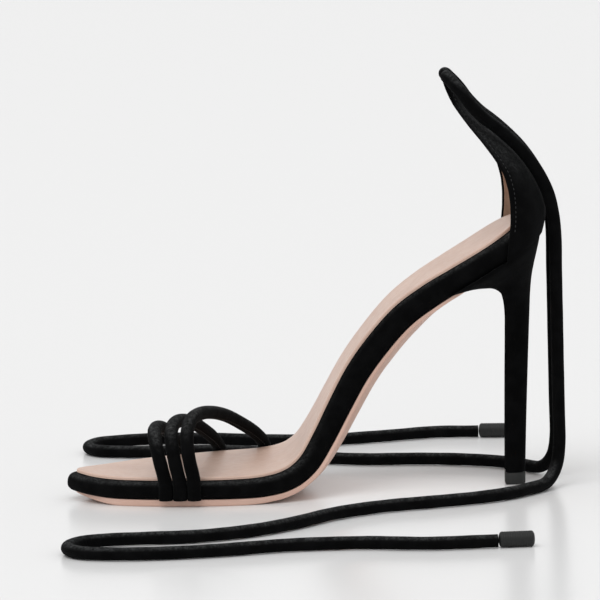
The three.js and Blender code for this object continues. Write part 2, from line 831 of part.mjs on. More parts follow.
function toeCordSolid(n) {
  const line = toeCordLine(toeCordInner[n], toeCordOuter[n], toeCordHeights[n]);
  const forward = new THREE.Vector3(-1, 0, 0);
  const flatLength = 11;
  const length = line.getLength();
  const rings = Array.from({ length: cordRings + 1 }, (_, i) => {
    const share = (1 - Math.cos((Math.PI * i) / cordRings)) / 2;
    const at = THREE.MathUtils.lerp(i / cordRings, share, 0.45);
    const place = line.getPointAt(at);
    const way = line.getTangentAt(at);
    const out = new THREE.Vector3().crossVectors(forward, way).normalize();
    const along = new THREE.Vector3().crossVectors(way, out).normalize();
    const fromEnd = Math.min(at, 1 - at) * length;
    const open = THREE.MathUtils.smoothstep(fromEnd, 1.5, flatLength);
    const thick = THREE.MathUtils.lerp(toeCordFlat, toeCordWidth, open) / 2;
    return Array.from({ length: cordSides }, (_unused, j) => {
      const angle = (2 * Math.PI * (j + 0.5)) / cordSides;
      return place
        .clone()
        .addScaledVector(along, (Math.cos(angle) * toeCordWidth) / 2)
        .addScaledVector(out, Math.sin(angle) * thick);
    });
  });
  return loft(rings);
}

// The ties lie as they fall: down the back of the counter, free behind the heel, and on along the floor

const onFloor = tieDiameter / 2 + 0.12;
const tieSwing = 0.8; // how far behind the last place on the counter it hangs
const tieHang = [1, 0.86, 0.57, 0.325]; // heights of its free stretch, as shares of the heel height
const tieBend = 15; // radius of its bend on to the floor
const tieHeading = new THREE.Vector2(-0.55, 0.835); // the way it runs from there, with its hand outwards

// On the counter: row of its table, turn round the heel of the foot, and how far the tie stands clear of it.
const tieRest = [
  { row: 12, turn: 0.69, clear: 6.9 },
  { row: 11.3, turn: 0.64, clear: 7.4 },
  { row: 10.4, turn: 0.52, clear: 6.4 },
  { row: 9.5, turn: 0.42, clear: 5.7 },
  { row: 8.5, turn: 0.365, clear: 3.8 },
  { row: 7.4, turn: 0.315, clear: 2 },
  { row: 6.3, turn: 0.275, clear: 1.1 },
  { row: 4.8, turn: 0.245, clear: 0.5 },
  { row: 3.5, turn: 0.22, clear: 0.2 },
  { row: 2.2, turn: 0.205, clear: 0.6 },
];

// Along the floor: forward of where the tie hangs, and out from the middle of the shoe.
const tieLay = {
  medial: [
    { forward: 14, out: 30 },
    { forward: 22, out: 38.5 },
    { forward: 35, out: 47 },
    { forward: 54, out: 54 },
    { forward: 75, out: 61 },
    { forward: 95, out: 74 },
    { forward: 111, out: 92 },
    { forward: 129, out: 107 },
    { forward: 151, out: 115.5 },
    { forward: 171, out: 116.4 },
    { forward: 186, out: 117.6 },
    { forward: 196.4, out: 122.4 },
    { forward: 200.4, out: 132.5 },
    { forward: 196.2, out: 142.6 },
    { forward: 186, out: 147.3 },
    { forward: 168, out: 149.5 },
    { forward: 142, out: 147 },
    { forward: 115, out: 140.5 },
    { forward: 87, out: 140 },
    { forward: 60, out: 146 },
    { forward: 34, out: 145 },
  ],
  lateral: [
    { forward: 14, out: 30 },
    { forward: 22, out: 38.5 },
    { forward: 36, out: 46 },
    { forward: 55, out: 51.5 },
    { forward: 77, out: 54 },
    { forward: 98, out: 63 },
    { forward: 116, out: 77 },
    { forward: 139, out: 87 },
    { forward: 162, out: 89 },
    { forward: 179, out: 92 },
    { forward: 190, out: 96.8 },
    { forward: 194.4, out: 107 },
    { forward: 190, out: 117.2 },
    { forward: 179, out: 122 },
    { forward: 162, out: 124 },
    { forward: 142, out: 120 },
    { forward: 118, out: 111.5 },
    { forward: 93, out: 107.5 },
    { forward: 68, out: 113 },
    { forward: 44, out: 120 },
    { forward: 26, out: 118 },
  ],
};

function tiePoints(side, hand) {
  const [before, last] = tieRootPoints(hand).slice(-2);
  const way = last.clone().sub(before).normalize();
  const start = last.addScaledVector(way, fit);
  const rest = tieRest.map((row) =>
    counterPoint(row.row, hand * row.turn, -(tieDiameter / 2 + fit + row.clear)),
  );
  const { x, y } = rest[rest.length - 1];
  const hang = new THREE.Vector3(x + tieSwing, y, 0);
  const fall = tieHang.map((share) => hang.clone().setZ(share * heelHeight));
  const bend = [0, 30, 55, 75, 90].map((degrees) => {
    const angle = THREE.MathUtils.degToRad(degrees);
    const run = tieBend * (1 - Math.cos(angle));
    const height = onFloor + tieBend * (1 - Math.sin(angle));
    return new THREE.Vector3(hang.x + tieHeading.x * run, hang.y + hand * tieHeading.y * run, height);
  });
  const lay = tieLay[side].map(
    (row) => new THREE.Vector3(hang.x - row.forward, hand * row.out, onFloor),
  );
  return [start, start.clone().addScaledVector(way, 3), ...rest, ...fall, ...bend, ...lay];
}

function tieTip(points) {
  const end = points[points.length - 1];
  const path = new THREE.CatmullRomCurve3(points, false, "centripetal");
  const way = path.getTangentAt(1).setZ(0).normalize();
  const side = new THREE.Vector3(-way.y, way.x, 0);
  const up = new THREE.Vector3(0, 0, 1);
  const radius = tieTipDiameter / 2;
  const rows = [
    { along: 0, wide: 0.9 },
    { along: 0.06, wide: 1 },
    { along: 0.86, wide: 1 },
    { along: 0.96, wide: 0.86 },
    { along: 1, wide: 0.62 },
  ];
  const start = end.clone().addScaledVector(way, fit).setZ(radius + 0.02);
  const rings = rows.map((row) =>
    Array.from({ length: 10 }, (_, j) => {
      const angle = (2 * Math.PI * (j + 0.5)) / 10;
      return start
        .clone()
        .addScaledVector(way, row.along * tieTipLength)
        .addScaledVector(side, Math.cos(angle) * radius * row.wide)
        .addScaledVector(up, Math.sin(angle) * radius * row.wide);
    }),
  );
  return loft(rings);
}

// Names and materials

const velvet = { color: 0x15171a, roughness: 0.95, metalness: 0 };
const nude = { color: 0xc9a592, roughness: 0.5, metalness: 0 };
const rubber = { color: 0x3b3a3c, roughness: 0.8, metalness: 0 };

const shoe = [
  ["outsole", soleSolid(), nude],
  ["insole_board", boardSolid(0), velvet],
  ["sock_lining", sockSolid(), nude],
  ["counter", counterSolid(), velvet],
  ["heel", heelSolid(), velvet],
  ["top_piece", topPieceSolid(), rubber],
  ["toe_strap_front", toeCordSolid(0), velvet],
  ["toe_strap_middle", toeCordSolid(1), velvet],
  ["toe_strap_rear", toeCordSolid(2), velvet],
];
const ties = [];
for (const [side, hand] of [
  ["medial", -1],
  ["lateral", 1],
]) {
  const points = tiePoints(side, hand);
  ties.push([`tie_${side}`, cord(points, tieDiameter, 8, 64), velvet]);
  ties.push([`tie_tip_${side}`, tieTip(points), velvet]);
}

function geometryOf(shape) {
  if (shape.isBufferGeometry) return shape;
  const mesh = shape.getMesh();
  const geometry = new THREE.BufferGeometry();
  const numbers = [];
  for (const corner of mesh.triVerts) {
    for (let k = 0; k < 3; k += 1) numbers.push(mesh.vertProperties[corner * mesh.numProp + k]);
  }
  geometry.setAttribute("position", new THREE.Float32BufferAttribute(numbers, 3));
  geometry.computeVertexNormals();
  return geometry;
}

const part = new THREE.Group();
part.name = "lace_up_heeled_sandal";
const bounds = new THREE.Box3();
for (const [name, shape, look] of [...shoe, ...ties]) {
  const mesh = new THREE.Mesh(geometryOf(shape), new THREE.MeshStandardMaterial(look));
  mesh.name = name;
  part.add(mesh);
  if (!name.startsWith("tie_")) bounds.expandByObject(mesh);
}
const centre = bounds.getCenter(new THREE.Vector3());
for (const mesh of part.children) mesh.geometry.translate(-centre.x, -centre.y, -bounds.min.z);

export default part;
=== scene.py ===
"""A black velvet sandal for the right foot, on a high slender heel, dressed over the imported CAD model.

Lengths in the tables are millimetres or shares of the sizes at the top, as in the part's source. X runs from
the tip of the toe to the heel, -Y is the inner side of the foot and +Z is up. `SHIFT` moves that to the
frame, whose origin is on the floor under the middle of the shoe.

The shape in words. A line seen from the side, the feather line, is the underside of the insole board: its
height follows a table of shares of the heel height. The flat pattern of the board is another table, and a
point of it, so far along and so far across, is put at that length of the feather line, across by as much,
and off the line's normal by its height. The board, its sock and the outsole are such bent sheets, whose
edges are turned by a profile. The heel is a row of half-round sections between the line of its front and the
line of its back. The counter is a row of half ellipses between its front edge and its back. Cords are tubes
round a smooth line through chosen points.
"""

import math

import bmesh
import bpy
import numpy as np
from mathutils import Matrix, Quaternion, Vector


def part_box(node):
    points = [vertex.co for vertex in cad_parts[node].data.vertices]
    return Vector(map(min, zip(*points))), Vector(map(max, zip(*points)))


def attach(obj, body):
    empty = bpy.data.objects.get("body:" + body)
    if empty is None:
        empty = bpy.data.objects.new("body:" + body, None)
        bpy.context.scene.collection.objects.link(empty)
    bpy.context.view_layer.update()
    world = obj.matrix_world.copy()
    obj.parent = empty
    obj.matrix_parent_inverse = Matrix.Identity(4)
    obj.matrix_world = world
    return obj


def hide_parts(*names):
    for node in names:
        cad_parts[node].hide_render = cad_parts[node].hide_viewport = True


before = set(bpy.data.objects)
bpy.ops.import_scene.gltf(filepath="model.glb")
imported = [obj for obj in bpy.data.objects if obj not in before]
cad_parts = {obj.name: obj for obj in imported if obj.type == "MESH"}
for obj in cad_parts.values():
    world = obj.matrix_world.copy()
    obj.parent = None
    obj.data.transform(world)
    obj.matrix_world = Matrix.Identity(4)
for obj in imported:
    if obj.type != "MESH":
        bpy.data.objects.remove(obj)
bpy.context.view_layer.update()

# Sizes, as in the part's source

BOARD_LENGTH = 196.8
HEEL_HEIGHT = 104.6
BALL_WIDTH = 74.0
OUTSOLE = 3.0
TOE_SPRING = 1.8
SPRING_LENGTH = 24.0
FIT = 0.3
RIM_UNDER = 1.6
RIM_TOP = 4.2
SOCK_THICKNESS = 1.2
SOCK_INSET = 3.4
OUTSOLE_INSET = 1.0
FLAP_THICKNESS = 1.6
FLAP_RECESS = 0.7
FLAP_MARGIN = 1.1
TOP_PIECE = 4.9
TIP_LENGTH = 8.4
TIP_WIDTH = 8.6
TIP_FRONT = 180.4
SEAT_FRONT = 158.0
SEAT_WIDTH = 54.5
HEEL_OVERHANG = 0.4
COUNTER_HEIGHT = 66.0
COUNTER_WALL = 2.0
COUNTER_WIDTH = 56.8
COUNTER_BULGE = 2.5
COUNTER_LEAN = 38.7
ROOT_REACH = 10.2
CORD_WIDTH = 5.5
CORD_FLAT = 2.2
TIE_DIAMETER = 5.2
TIP_DIAMETER = 6.2
TIE_TIP_LENGTH = 14.0
TIE_SWING = 0.8
TIE_HANG = (1, 0.86, 0.57, 0.325)
TIE_BEND = 15.0
TIE_HEADING = (-0.55, 0.835)

SIDES = (("medial", -1), ("lateral", 1))  # the inner and the outer side, and the sign of Y there

# Sizes of edges, seams and ends

TOE_SKIVE = 22.0  # from the toe tip, where the outsole's edge is pared thin
TOE_SET_BACK = 3.0  # how far that edge stands back at the tip
TOE_THIN = 0.35  # share of the thickness left there
SOLE_ROUND = 0.5
TUCK_LENGTH = 9.0  # the end of the waist, where the outsole's edge goes in under the board
TUCK = 1.3
FLAP_BEND = 7.0  # where the sole's line starts to bend down, before the heel's front
FLAP_BLEND = 10.0  # over which the sole narrows to the flap
FLAP_SHORT = 0.2  # how far the flap stops short of the end of its line
ROUND_END = 12.0  # how far the board's middle line stays back from its ends
SOCK_ROUND = 0.45
SEAT_END = 4.0  # of the board, whose slope the heel's top keeps behind it
SEAT_LAP = 1.1  # how far the heel's cover laps up over the board
SEAT_LAP_END = 186.0
SEAT_LAP_FADE = 10.0
COUNTER_VELVET = 1.6
COUNTER_TURNED_IN = 5.0  # how far its velvet goes in under the board
LINING_UNDER = 0.2  # how far the lining goes in behind the velvet
LINING_MARGIN = 1.1  # from the counter's edge to the lining's
LINING_LIFT = 2.5
SEAM_INSET = 2.3  # from the counter's edge to its row of stitches
SEAM_ROWS = (2.2, 12.4)
SEAM_PITCH = 1.9
CORD_SWAY = 0.012  # how unevenly wide a toe cord is, as a share
CORD_PRESSED = 1.5  # length of a toe cord's end that stays flat
CORD_OPENING = 9.5  # and the length over which it opens to its round shape
CORD_SEAM_LEAN = 24.0  # degrees from the top of a toe cord to its stitches, to the heel
CORD_SEAM_ENDS = 4.0
CORD_SEAM_PITCH = 1.7
TIE_SWAY = 0.02
TIE_RUN_ON = 3.0  # how far a tie goes straight on from its root
TIE_LIFT = 0.12  # between a tie and the floor
TIP_LIFT = 0.02
WINDING_PITCH = 0.95
WINDING_DEPTH = 0.11
WINDING_ENDS = (1.2, 1.8)  # bare stretches at the start and the end of a tie's tip
TIP_ROUND = 1.3
TIP_END_WIDTH = 0.28  # share of the width at the tip's ends
ROOT_FLAT = 1.1  # thickness of a tie's root where it is sewn in
ROOT_NARROW = 0.8  # share of its width there
ROOT_PRESSED = 2.2
ROOT_OPENING = 4.6
ROOT_BACK = 1.0  # how far it is set back there, to lie under the velvet
ROOT_END = ((0.2, 0.97), (0.5, 0.955), (0.9, 0.9))  # its last rings, inside the cord: (onward, share)


# Tables, as in the part's source


def columns(names, *rows):
    """A table's columns by name."""
    return {name: np.array(values, float) for name, values in zip(names.split(), zip(*rows))}


BOTTOM_LINE = columns(
    "along rise",
    (0, 0), (0.366, 0), (0.42, 0.0055), (0.456, 0.0175), (0.49, 0.045), (0.523, 0.099),
    (0.556, 0.193), (0.5895, 0.305), (0.629, 0.4345), (0.675, 0.5535), (0.72, 0.6505),
    (0.772, 0.7285), (0.83, 0.7975), (0.889, 0.866), (0.94, 0.928), (1, 1),
)
BOARD_PATTERN = columns(
    "along inner outer",
    (0, 0.095, -0.095), (0.01, 0.175, -0.005), (0.037, 0.27, 0.1), (0.083, 0.355, 0.235),
    (0.145, 0.423, 0.362), (0.215, 0.464, 0.458), (0.285, 0.48, 0.515), (0.35, 0.455, 0.52),
    (0.42, 0.375, 0.475), (0.51, 0.275, 0.375), (0.6, 0.228, 0.307), (0.69, 0.242, 0.292),
    (0.785, 0.3, 0.323), (0.87, 0.346, 0.352), (0.935, 0.342, 0.344), (0.975, 0.253, 0.255),
    (0.994, 0.122, 0.122), (1, 0, 0),
)
BOARD_THICKNESS = columns("along thick", (0, 7), (0.2, 7), (0.4, 7.8), (0.6, 9.2), (1, 9))
RIM_PROFILE = columns(
    "inset height",
    (RIM_UNDER + 2, 0), (RIM_UNDER, 0), (RIM_UNDER * 0.28, 0.14), (0, 0.38), (RIM_TOP * 0.02, 0.62),
    (RIM_TOP * 0.21, 0.84), (RIM_TOP * 0.57, 0.965), (RIM_TOP, 1), (RIM_TOP + 2, 1),
)
OUTSOLE_DEPTH = columns(
    "along middle edge",
    (0, OUTSOLE, OUTSOLE), (0.34, OUTSOLE, OUTSOLE), (0.6, 5.4, 1.9), (0.88, 5.4, 1.9),
    (1, FLAP_THICKNESS, FLAP_THICKNESS),
)
BREAST_LINE = columns(
    "forward level",
    (0, 0), (-0.018, 0.211), (-0.038, 0.411), (-0.06, 0.579), (-0.068, 0.655), (-0.045, 0.71),
    (0.031, 0.756), (0.17, 0.781), (0.366, 0.7875), (0.6, 0.7865), (0.82, 0.777), (1, 0.7665),
)
HEEL_SECTIONS = columns(
    "front back level width",
    (0, 0, 0, 0), (0.18, 0.1, 0.211, 0.005), (0.36, 0.21, 0.411, 0.012), (0.5, 0.31, 0.579, 0.03),
    (0.58, 0.37, 0.674, 0.065), (0.65, 0.42, 0.747, 0.14), (0.71, 0.5, 0.811, 0.26),
    (0.78, 0.63, 0.868, 0.46), (0.86, 0.8, 0.926, 0.72), (0.93, 0.94, 0.979, 0.92), (1, 1, 1.032, 1),
)
HEEL_FRONT_FLAT = 0.86
HEEL_OUTLINE = columns(
    "back half",
    (0, HEEL_FRONT_FLAT), (0.07, 0.92), (0.3, 1), (0.54, 0.98), (0.76, 0.82), (0.91, 0.53),
    (0.98, 0.22), (1, 0),
)
COUNTER_SECTIONS = columns(
    "back back_rise front front_rise width",
    (0.062, -0.035, 0.47, -0.19, 0.955), (0.026, 0.036, 0.452, -0.08, 0.98),
    (0, 0.108, 0.435, 0.01, 1), (0.008, 0.188, 0.418, 0.105, 0.99),
    (0.055, 0.27, 0.415, 0.206, 0.955), (0.122, 0.345, 0.43, 0.3, 0.9),
    (0.2, 0.418, 0.473, 0.396, 0.825), (0.303, 0.5, 0.562, 0.487, 0.73),
    (0.45, 0.586, 0.69, 0.59, 0.61), (0.602, 0.658, 0.804, 0.672, 0.5),
    (0.747, 0.728, 0.897, 0.747, 0.4), (0.853, 0.803, 0.974, 0.815, 0.32),
    (0.928, 0.882, 1.026, 0.888, 0.262), (0.98, 0.954, 1.06, 0.951, 0.23),
    (1, 1, 1.072, 0.994, 0.218),
)
CORD_ARCH = columns(
    "across rise lean",
    (0.004, 0.13, 0.06), (-0.004, 0.34, 0.22), (0.006, 0.58, 0.44), (0.055, 0.82, 0.7),
    (0.15, 0.965, 0.92), (0.27, 1, 1), (0.42, 0.95, 0.93), (0.58, 0.82, 0.74), (0.74, 0.61, 0.48),
    (0.88, 0.385, 0.22), (0.965, 0.19, 0.07),
)
CORD_FOOT = columns("out up", (0.9, -0.1), (1.55, 2.7), (CORD_WIDTH / 2 - FIT, 6))
TOE_CORDS = columns("inner outer height", (40.5, 48, 29.7), (46.3, 64, 32.1), (52.1, 83, 35.2))
TIE_ROOT = columns(
    "forward out up",
    (0.6, 0.19, -4.6), (1.1, 0.33, -2.4), (1.2, 0.57, -1.1), (0.5, 0.81, -1.4), (-0.8, 1, -2.8),
)
TIE_REST = columns(
    "row turn clear",
    (12, 0.69, 6.9), (11.3, 0.64, 7.4), (10.4, 0.52, 6.4), (9.5, 0.42, 5.7), (8.5, 0.365, 3.8),
    (7.4, 0.315, 2), (6.3, 0.275, 1.1), (4.8, 0.245, 0.5), (3.5, 0.22, 0.2), (2.2, 0.205, 0.6),
)
TIE_LAY = {
    "medial": columns(
        "forward out",
        (14, 30), (22, 38.5), (35, 47), (54, 54), (75, 61), (95, 74), (111, 92), (129, 107),
        (151, 115.5), (171, 116.4), (186, 117.6), (196.4, 122.4), (200.4, 132.5), (196.2, 142.6),
        (186, 147.3), (168, 149.5), (142, 147), (115, 140.5), (87, 140), (60, 146), (34, 145),
    ),
    "lateral": columns(
        "forward out",
        (14, 30), (22, 38.5), (36, 46), (55, 51.5), (77, 54), (98, 63), (116, 77), (139, 87),
        (162, 89), (179, 92), (190, 96.8), (194.4, 107), (190, 117.2), (179, 122), (162, 124),
        (142, 120), (118, 111.5), (93, 107.5), (68, 113), (44, 120), (26, 118),
    ),
}


# Curves


def smooth(table, key, column, at):
    """A cubic curve through a table's rows.

    Its slope at a row is the mean of the slopes beside it, the nearer row's counting more, and 0 where one of
    them is level.
    """
    x, y = table[key], table[column]
    at = np.clip(np.asarray(at, float), x[0], x[-1])
    gap = np.diff(x)
    slope = np.diff(y) / gap
    tangent = np.empty_like(x)
    tangent[0], tangent[-1] = slope[0], slope[-1]
    before, after = slope[:-1], slope[1:]
    mixed = (before * gap[1:] + after * gap[:-1]) / (gap[:-1] + gap[1:])
    tangent[1:-1] = np.where((before == 0) | (after == 0), 0, mixed)
    i = np.clip(np.searchsorted(x, at, side="left") - 1, 0, len(gap) - 1)
    t = (at - x[i]) / gap[i]
    return (
        (2 * t**3 - 3 * t**2 + 1) * y[i]
        + (t**3 - 2 * t**2 + t) * gap[i] * tangent[i]
        + (3 * t**2 - 2 * t**3) * y[i + 1]
        + (t**3 - t**2) * gap[i] * tangent[i + 1]
    )


def joined(*columns):
    """Points from their coordinates, each an array or a number."""
    return np.stack(np.broadcast_arrays(*columns), -1)


def lengths(points):
    """Distance along a line of points to each of them."""
    steps = np.linalg.norm(np.diff(points, axis=0), axis=1)
    return np.concatenate([[0], np.cumsum(steps)])


def eased(share):
    """From 0 to 1 as the share is, level at both ends."""
    share = np.clip(share, 0, 1)
    return share**2 * (3 - 2 * share)


def full_turn(sides):
    """Angles evenly round a turn."""
    return np.linspace(0, 2 * np.pi, sides, endpoint=False)


def unit(vectors):
    """Vectors of length 1 along these."""
    size = np.linalg.norm(vectors, axis=-1, keepdims=True)
    return vectors / np.maximum(size, 1e-12)


def ways_along(points):
    """Directions along a line of points, one at each."""
    return unit(np.gradient(points, axis=0))


def between(values, reach, at):
    """Rows of values at these lengths, between rows that lie at the lengths `reach`."""
    return joined(*(np.interp(at, reach, column) for column in values.T))


def along_line(points, at):
    """Places at these lengths along a line of points."""
    return between(points, lengths(points), at)


def through(points, per_span=24):
    """A smooth line through points: a centripetal Catmull-Rom curve."""
    points = np.asarray(points, float)
    ends = 2 * points[0] - points[1], 2 * points[-1] - points[-2]
    p = np.vstack([ends[0], points, ends[1]])
    line = []
    for i in range(len(points) - 1):
        a, b, c, d = p[i : i + 4]
        ab, bc, cd = (np.sqrt(np.linalg.norm(v)) for v in (b - a, c - b, d - c))
        from_b = ((b - a) / ab - (c - a) / (ab + bc) + (c - b) / bc) * bc
        into_c = ((c - b) / bc - (d - b) / (bc + cd) + (d - c) / cd) * bc
        t = np.linspace(0, 1, per_span, endpoint=False)[:, None]
        line.append(
            b
            + from_b * t
            + (3 * (c - b) - 2 * from_b - into_c) * t**2
            + (2 * (b - c) + from_b + into_c) * t**3
        )
    return np.vstack([*line, points[-1:]])


def evenly(points, step):
    """The line of points again, with a point about every `step`."""
    reach = lengths(points)[-1]
    return along_line(points, np.linspace(0, reach, max(2, round(reach / step) + 1)))


class SideLine:
    """A line seen from the side, which a sheet is bent along."""

    def __init__(self, points):
        self.points = points
        self.reach = lengths(points)
        self.length = self.reach[-1]
        way = ways_along(points)
        self.normals = joined(-way[:, 1], way[:, 0])

    def place(self, along):
        """Points that far along the line."""
        return between(self.points, self.reach, along)

    def put(self, along, across, height):
        """Points that far along the line, that far across the shoe and that far off the line."""
        place = self.place(along)
        normal = between(self.normals, self.reach, along)
        x = place[..., 0] + normal[..., 0] * height
        z = place[..., 1] + normal[..., 1] * height
        return joined(x, across, z)


def board_underside(x):
    """Height of the underside of the board, level past its end."""
    rise = smooth(BOTTOM_LINE, "along", "rise", x / BOARD_LENGTH)
    spring = TOE_SPRING * np.maximum(0, 1 - x / SPRING_LENGTH) ** 2
    return OUTSOLE + rise * (HEEL_HEIGHT - OUTSOLE) + spring


FEATHER_X = np.linspace(0, BOARD_LENGTH, 2400)
FEATHER = SideLine(joined(FEATHER_X, board_underside(FEATHER_X)))


# The frame's place

tip_low, tip_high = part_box("top_piece")
SHIFT = np.array([tip_low.x * 1000 - TIP_FRONT, (tip_low.y + tip_high.y) * 500, tip_low.z * 1000])


def placed(points):
    """Millimetres of the shoe, as metres in the frame."""
    return (np.asarray(points, float) + SHIFT) / 1000


def add_object(name, data):
    """A new object in the scene."""
    made = bpy.data.objects.new(name, data)
    bpy.context.scene.collection.objects.link(made)
    return made


# Camera

VIEW_AZIMUTH = -1.4
VIEW_ELEVATION = 7.9
VIEW_DISTANCE = 2.3
VIEW_WIDTH = 0.246
VIEW_CENTRE = Vector((-0.002, 0.0, 0.0785))
VIEW_ROLL = -1.5
SENSOR = 36.0


def add_camera():
    """A long lens on the inner side of the shoe, a little to the toe, a little above it, and rolled."""
    data = bpy.data.cameras.new("camera")
    camera = add_object("camera", data)
    turn, rise = math.radians(VIEW_AZIMUTH), math.radians(VIEW_ELEVATION)
    level = math.cos(rise)
    back = Vector((math.sin(turn) * level, -math.cos(turn) * level, math.sin(rise)))
    camera.location = VIEW_CENTRE + back * VIEW_DISTANCE
    camera.rotation_mode = "QUATERNION"
    facing = (-back).to_track_quat("-Z", "Y")
    camera.rotation_quaternion = facing @ Quaternion((0, 0, 1), math.radians(VIEW_ROLL))
    data.sensor_width = SENSOR
    data.lens = SENSOR * VIEW_DISTANCE / VIEW_WIDTH
    data.clip_start = 0.05
    data.clip_end = 100
    bpy.context.scene.camera = camera


add_camera()


# Materials


class Value:
    """A socket of a material's nodes that takes part in sums, so that a formula reads as one."""

    def __init__(self, paint, socket):
        self.paint, self.socket = paint, socket

    def maths(self, operation, *others):
        """A sum or the like of this and others."""
        inputs = dict(enumerate([self, *others]))
        return self.paint.node("Math", inputs, operation=operation)

    def __add__(self, other):
        return self.maths("ADD", other)

    def __mul__(self, other):
        return self.maths("MULTIPLY", other)

    def __sub__(self, other):
        return self.maths("SUBTRACT", other)

    def __rsub__(self, other):
        return (self * -1.0) + other

    __radd__ = __add__
    __rmul__ = __mul__

    def ramp(self, low, high, start=0.0, end=1.0):
        """From `start` where this is `low` to `end` where it is `high`, smoothly."""
        inputs = {"Value": self, "From Min": low, "From Max": high, "To Min": start, "To Max": end}
        return self.paint.node("MapRange", inputs, interpolation_type="SMOOTHSTEP")

    def wave(self):
        """The sine of this, from 0 to 1."""
        return self.maths("SINE") * 0.5 + 0.5


class Paint:
    """A material made of a Principled shader and the nodes that feed it."""

    def __init__(self, name, **shader):
        self.material = bpy.data.materials.new(name)
        self.material.use_nodes = True
        self.tree = self.material.node_tree
        self.shader = self.tree.nodes["Principled BSDF"]
        for key, value in shader.items():
            self.shader.inputs[key.replace("_", " ")].default_value = value
        self.mm = self.stretched(self.node("TexCoord", output="Object"), (1000.0, 1000.0, 1000.0))

    def node(self, kind, inputs=None, output=0, **settings):
        """A node, with these inputs and settings; returns one of its outputs."""
        made = self.tree.nodes.new("ShaderNode" + kind)
        for key, value in settings.items():
            setattr(made, key, value)
        for key, value in (inputs or {}).items():
            if isinstance(value, Value):
                self.tree.links.new(value.socket, made.inputs[key])
            else:
                made.inputs[key].default_value = value
        return Value(self, made.outputs[output])

    def feed(self, key, value):
        """Drives an input of the shader."""
        self.tree.links.new(value.socket, self.shader.inputs[key])

    def stretched(self, where, factors):
        """A place whose coordinates are multiplied by three factors."""
        return self.node("VectorMath", {0: where, 1: factors}, operation="MULTIPLY")

    def noise(self, size, detail=2.0, rough=0.5, stretch=None):
        """Noise whose blotches are about `size` millimetres across."""
        where = self.stretched(self.mm, stretch) if stretch else self.mm
        inputs = {"Vector": where, "Scale": 1 / size, "Detail": detail, "Roughness": rough}
        return self.node("TexNoise", inputs)

    def cells(self, size):
        """Distance to the nearest of scattered points about `size` millimetres apart."""
        return self.node("TexVoronoi", {"Vector": self.mm, "Scale": 1 / size}, output="Distance")

    def attribute(self, name):
        """A number stored on the mesh."""
        return self.node("Attribute", output="Fac", attribute_name=name)

    def mix(self, share, first, second):
        """A colour between two others."""
        keys = {"Factor": share, 6: first, 7: second}
        return self.node("Mix", keys, output=2, data_type="RGBA")

    def leather(self, clouds, grain, share, dark, light):
        """Colours it between two tones: `share` of the tone in clouds, the rest from the grain."""
        cloud = self.noise(clouds, 3.0).ramp(0.3, 0.72)
        self.feed("Base Color", self.mix(cloud * share + grain * (1 - share), dark, light))

    def bump(self, height, depth):
        """Relief of `depth` millimetres where the height runs from 0 to 1."""
        inputs = {"Height": height, "Distance": depth / 1000, "Strength": 1.0}
        self.feed("Normal", self.node("Bump", inputs))


BLACK = (0.0016, 0.0016, 0.0017, 1)
BLACK_BRUSHED = (0.0042, 0.0043, 0.0046, 1)
# BLACK_LIT is the colour of the painted highlight on velvet that faces up
BLACK_LIT = (0.075, 0.077, 0.078, 1)


class Velvet(Paint):
    """Black silk velvet that swallows light, greyer where it is brushed, with a painted highlight where it
    faces up.
    """

    def __init__(self, name, sheen=0.02):
        shine = {"Roughness": 0.95, "Specular_IOR_Level": 0.04, "Sheen_Roughness": 0.34}
        super().__init__(name, Sheen_Weight=sheen, Sheen_Tint=(0.82, 0.88, 0.9, 1), **shine)
        self.pile = self.noise(0.24, 3.0, 0.65)
        self.tuft = self.cells(0.36).ramp(0.12, 0.6, 1.0, 0.0)

    def colour(self, lit=1.0):
        """Brushed in clouds a few millimetres across, and speckled with a painted highlight where the surface
        faces up.
        """
        # Painted highlight: surfaces that face up are lighter, as if lit from above, in a speckle of the pile
        normal = self.node("NewGeometry", output="Normal")
        up = self.node("SeparateXYZ", {"Vector": normal}, output="Z").ramp(0.35, 1.0, 0.0, lit)
        brushed = self.noise(6.0, 3.0).ramp(0.35, 0.7)
        cloth = self.mix(brushed * 0.6 + self.pile * 0.4, BLACK, BLACK_BRUSHED)
        painted_highlight = self.pile * 0.55 + self.noise(1.1, 3.0, 0.6) * 0.45
        painted_highlight = painted_highlight.ramp(0.36, 0.66) * self.noise(3.4, 2.0).ramp(0.3, 0.65, 0.4, 1.0)
        self.feed("Base Color", self.mix(up * painted_highlight, cloth, BLACK_LIT))


def velvet(name, seam=None):
    """Velvet drawn over a shaped part, sunk along a seam."""
    paint = Velvet(name)
    # with the painted highlight on up-facing surfaces at 0.8 of its full strength
    paint.colour(0.8)
    height = paint.pile * 0.45 + paint.tuft * 0.3 + paint.noise(1.6, 2.0) * 0.25
    if seam:
        off_seam = (paint.attribute(seam) - SEAM_INSET).maths("ABSOLUTE")
        height = height * 0.4 + off_seam.ramp(0.0, 0.9) * 0.6
    paint.bump(height, 0.3 if seam else 0.18)
    return paint.material


def cord_velvet():
    """The same velvet drawn round a cord, with a sewn seam along one side and small crosswise creases."""
    paint = Velvet("black_velvet_cord", 0.03)
    # with the painted highlight on up-facing surfaces at full strength
    paint.colour()
    along = paint.attribute("along")
    around = paint.attribute("around")
    seam = around.ramp(0.0, 0.035, 1.0, 0.0)
    crease = (along * 2.6 + paint.noise(3.0, 2.0) * 9.0).wave() * paint.noise(9.0, 1.0).ramp(0.5, 0.75)
    relief = paint.pile * 0.25 + paint.tuft * 0.15 + crease * 0.25
    paint.bump(relief + (1.0 - seam) * 0.35, 0.4)
    return paint.material


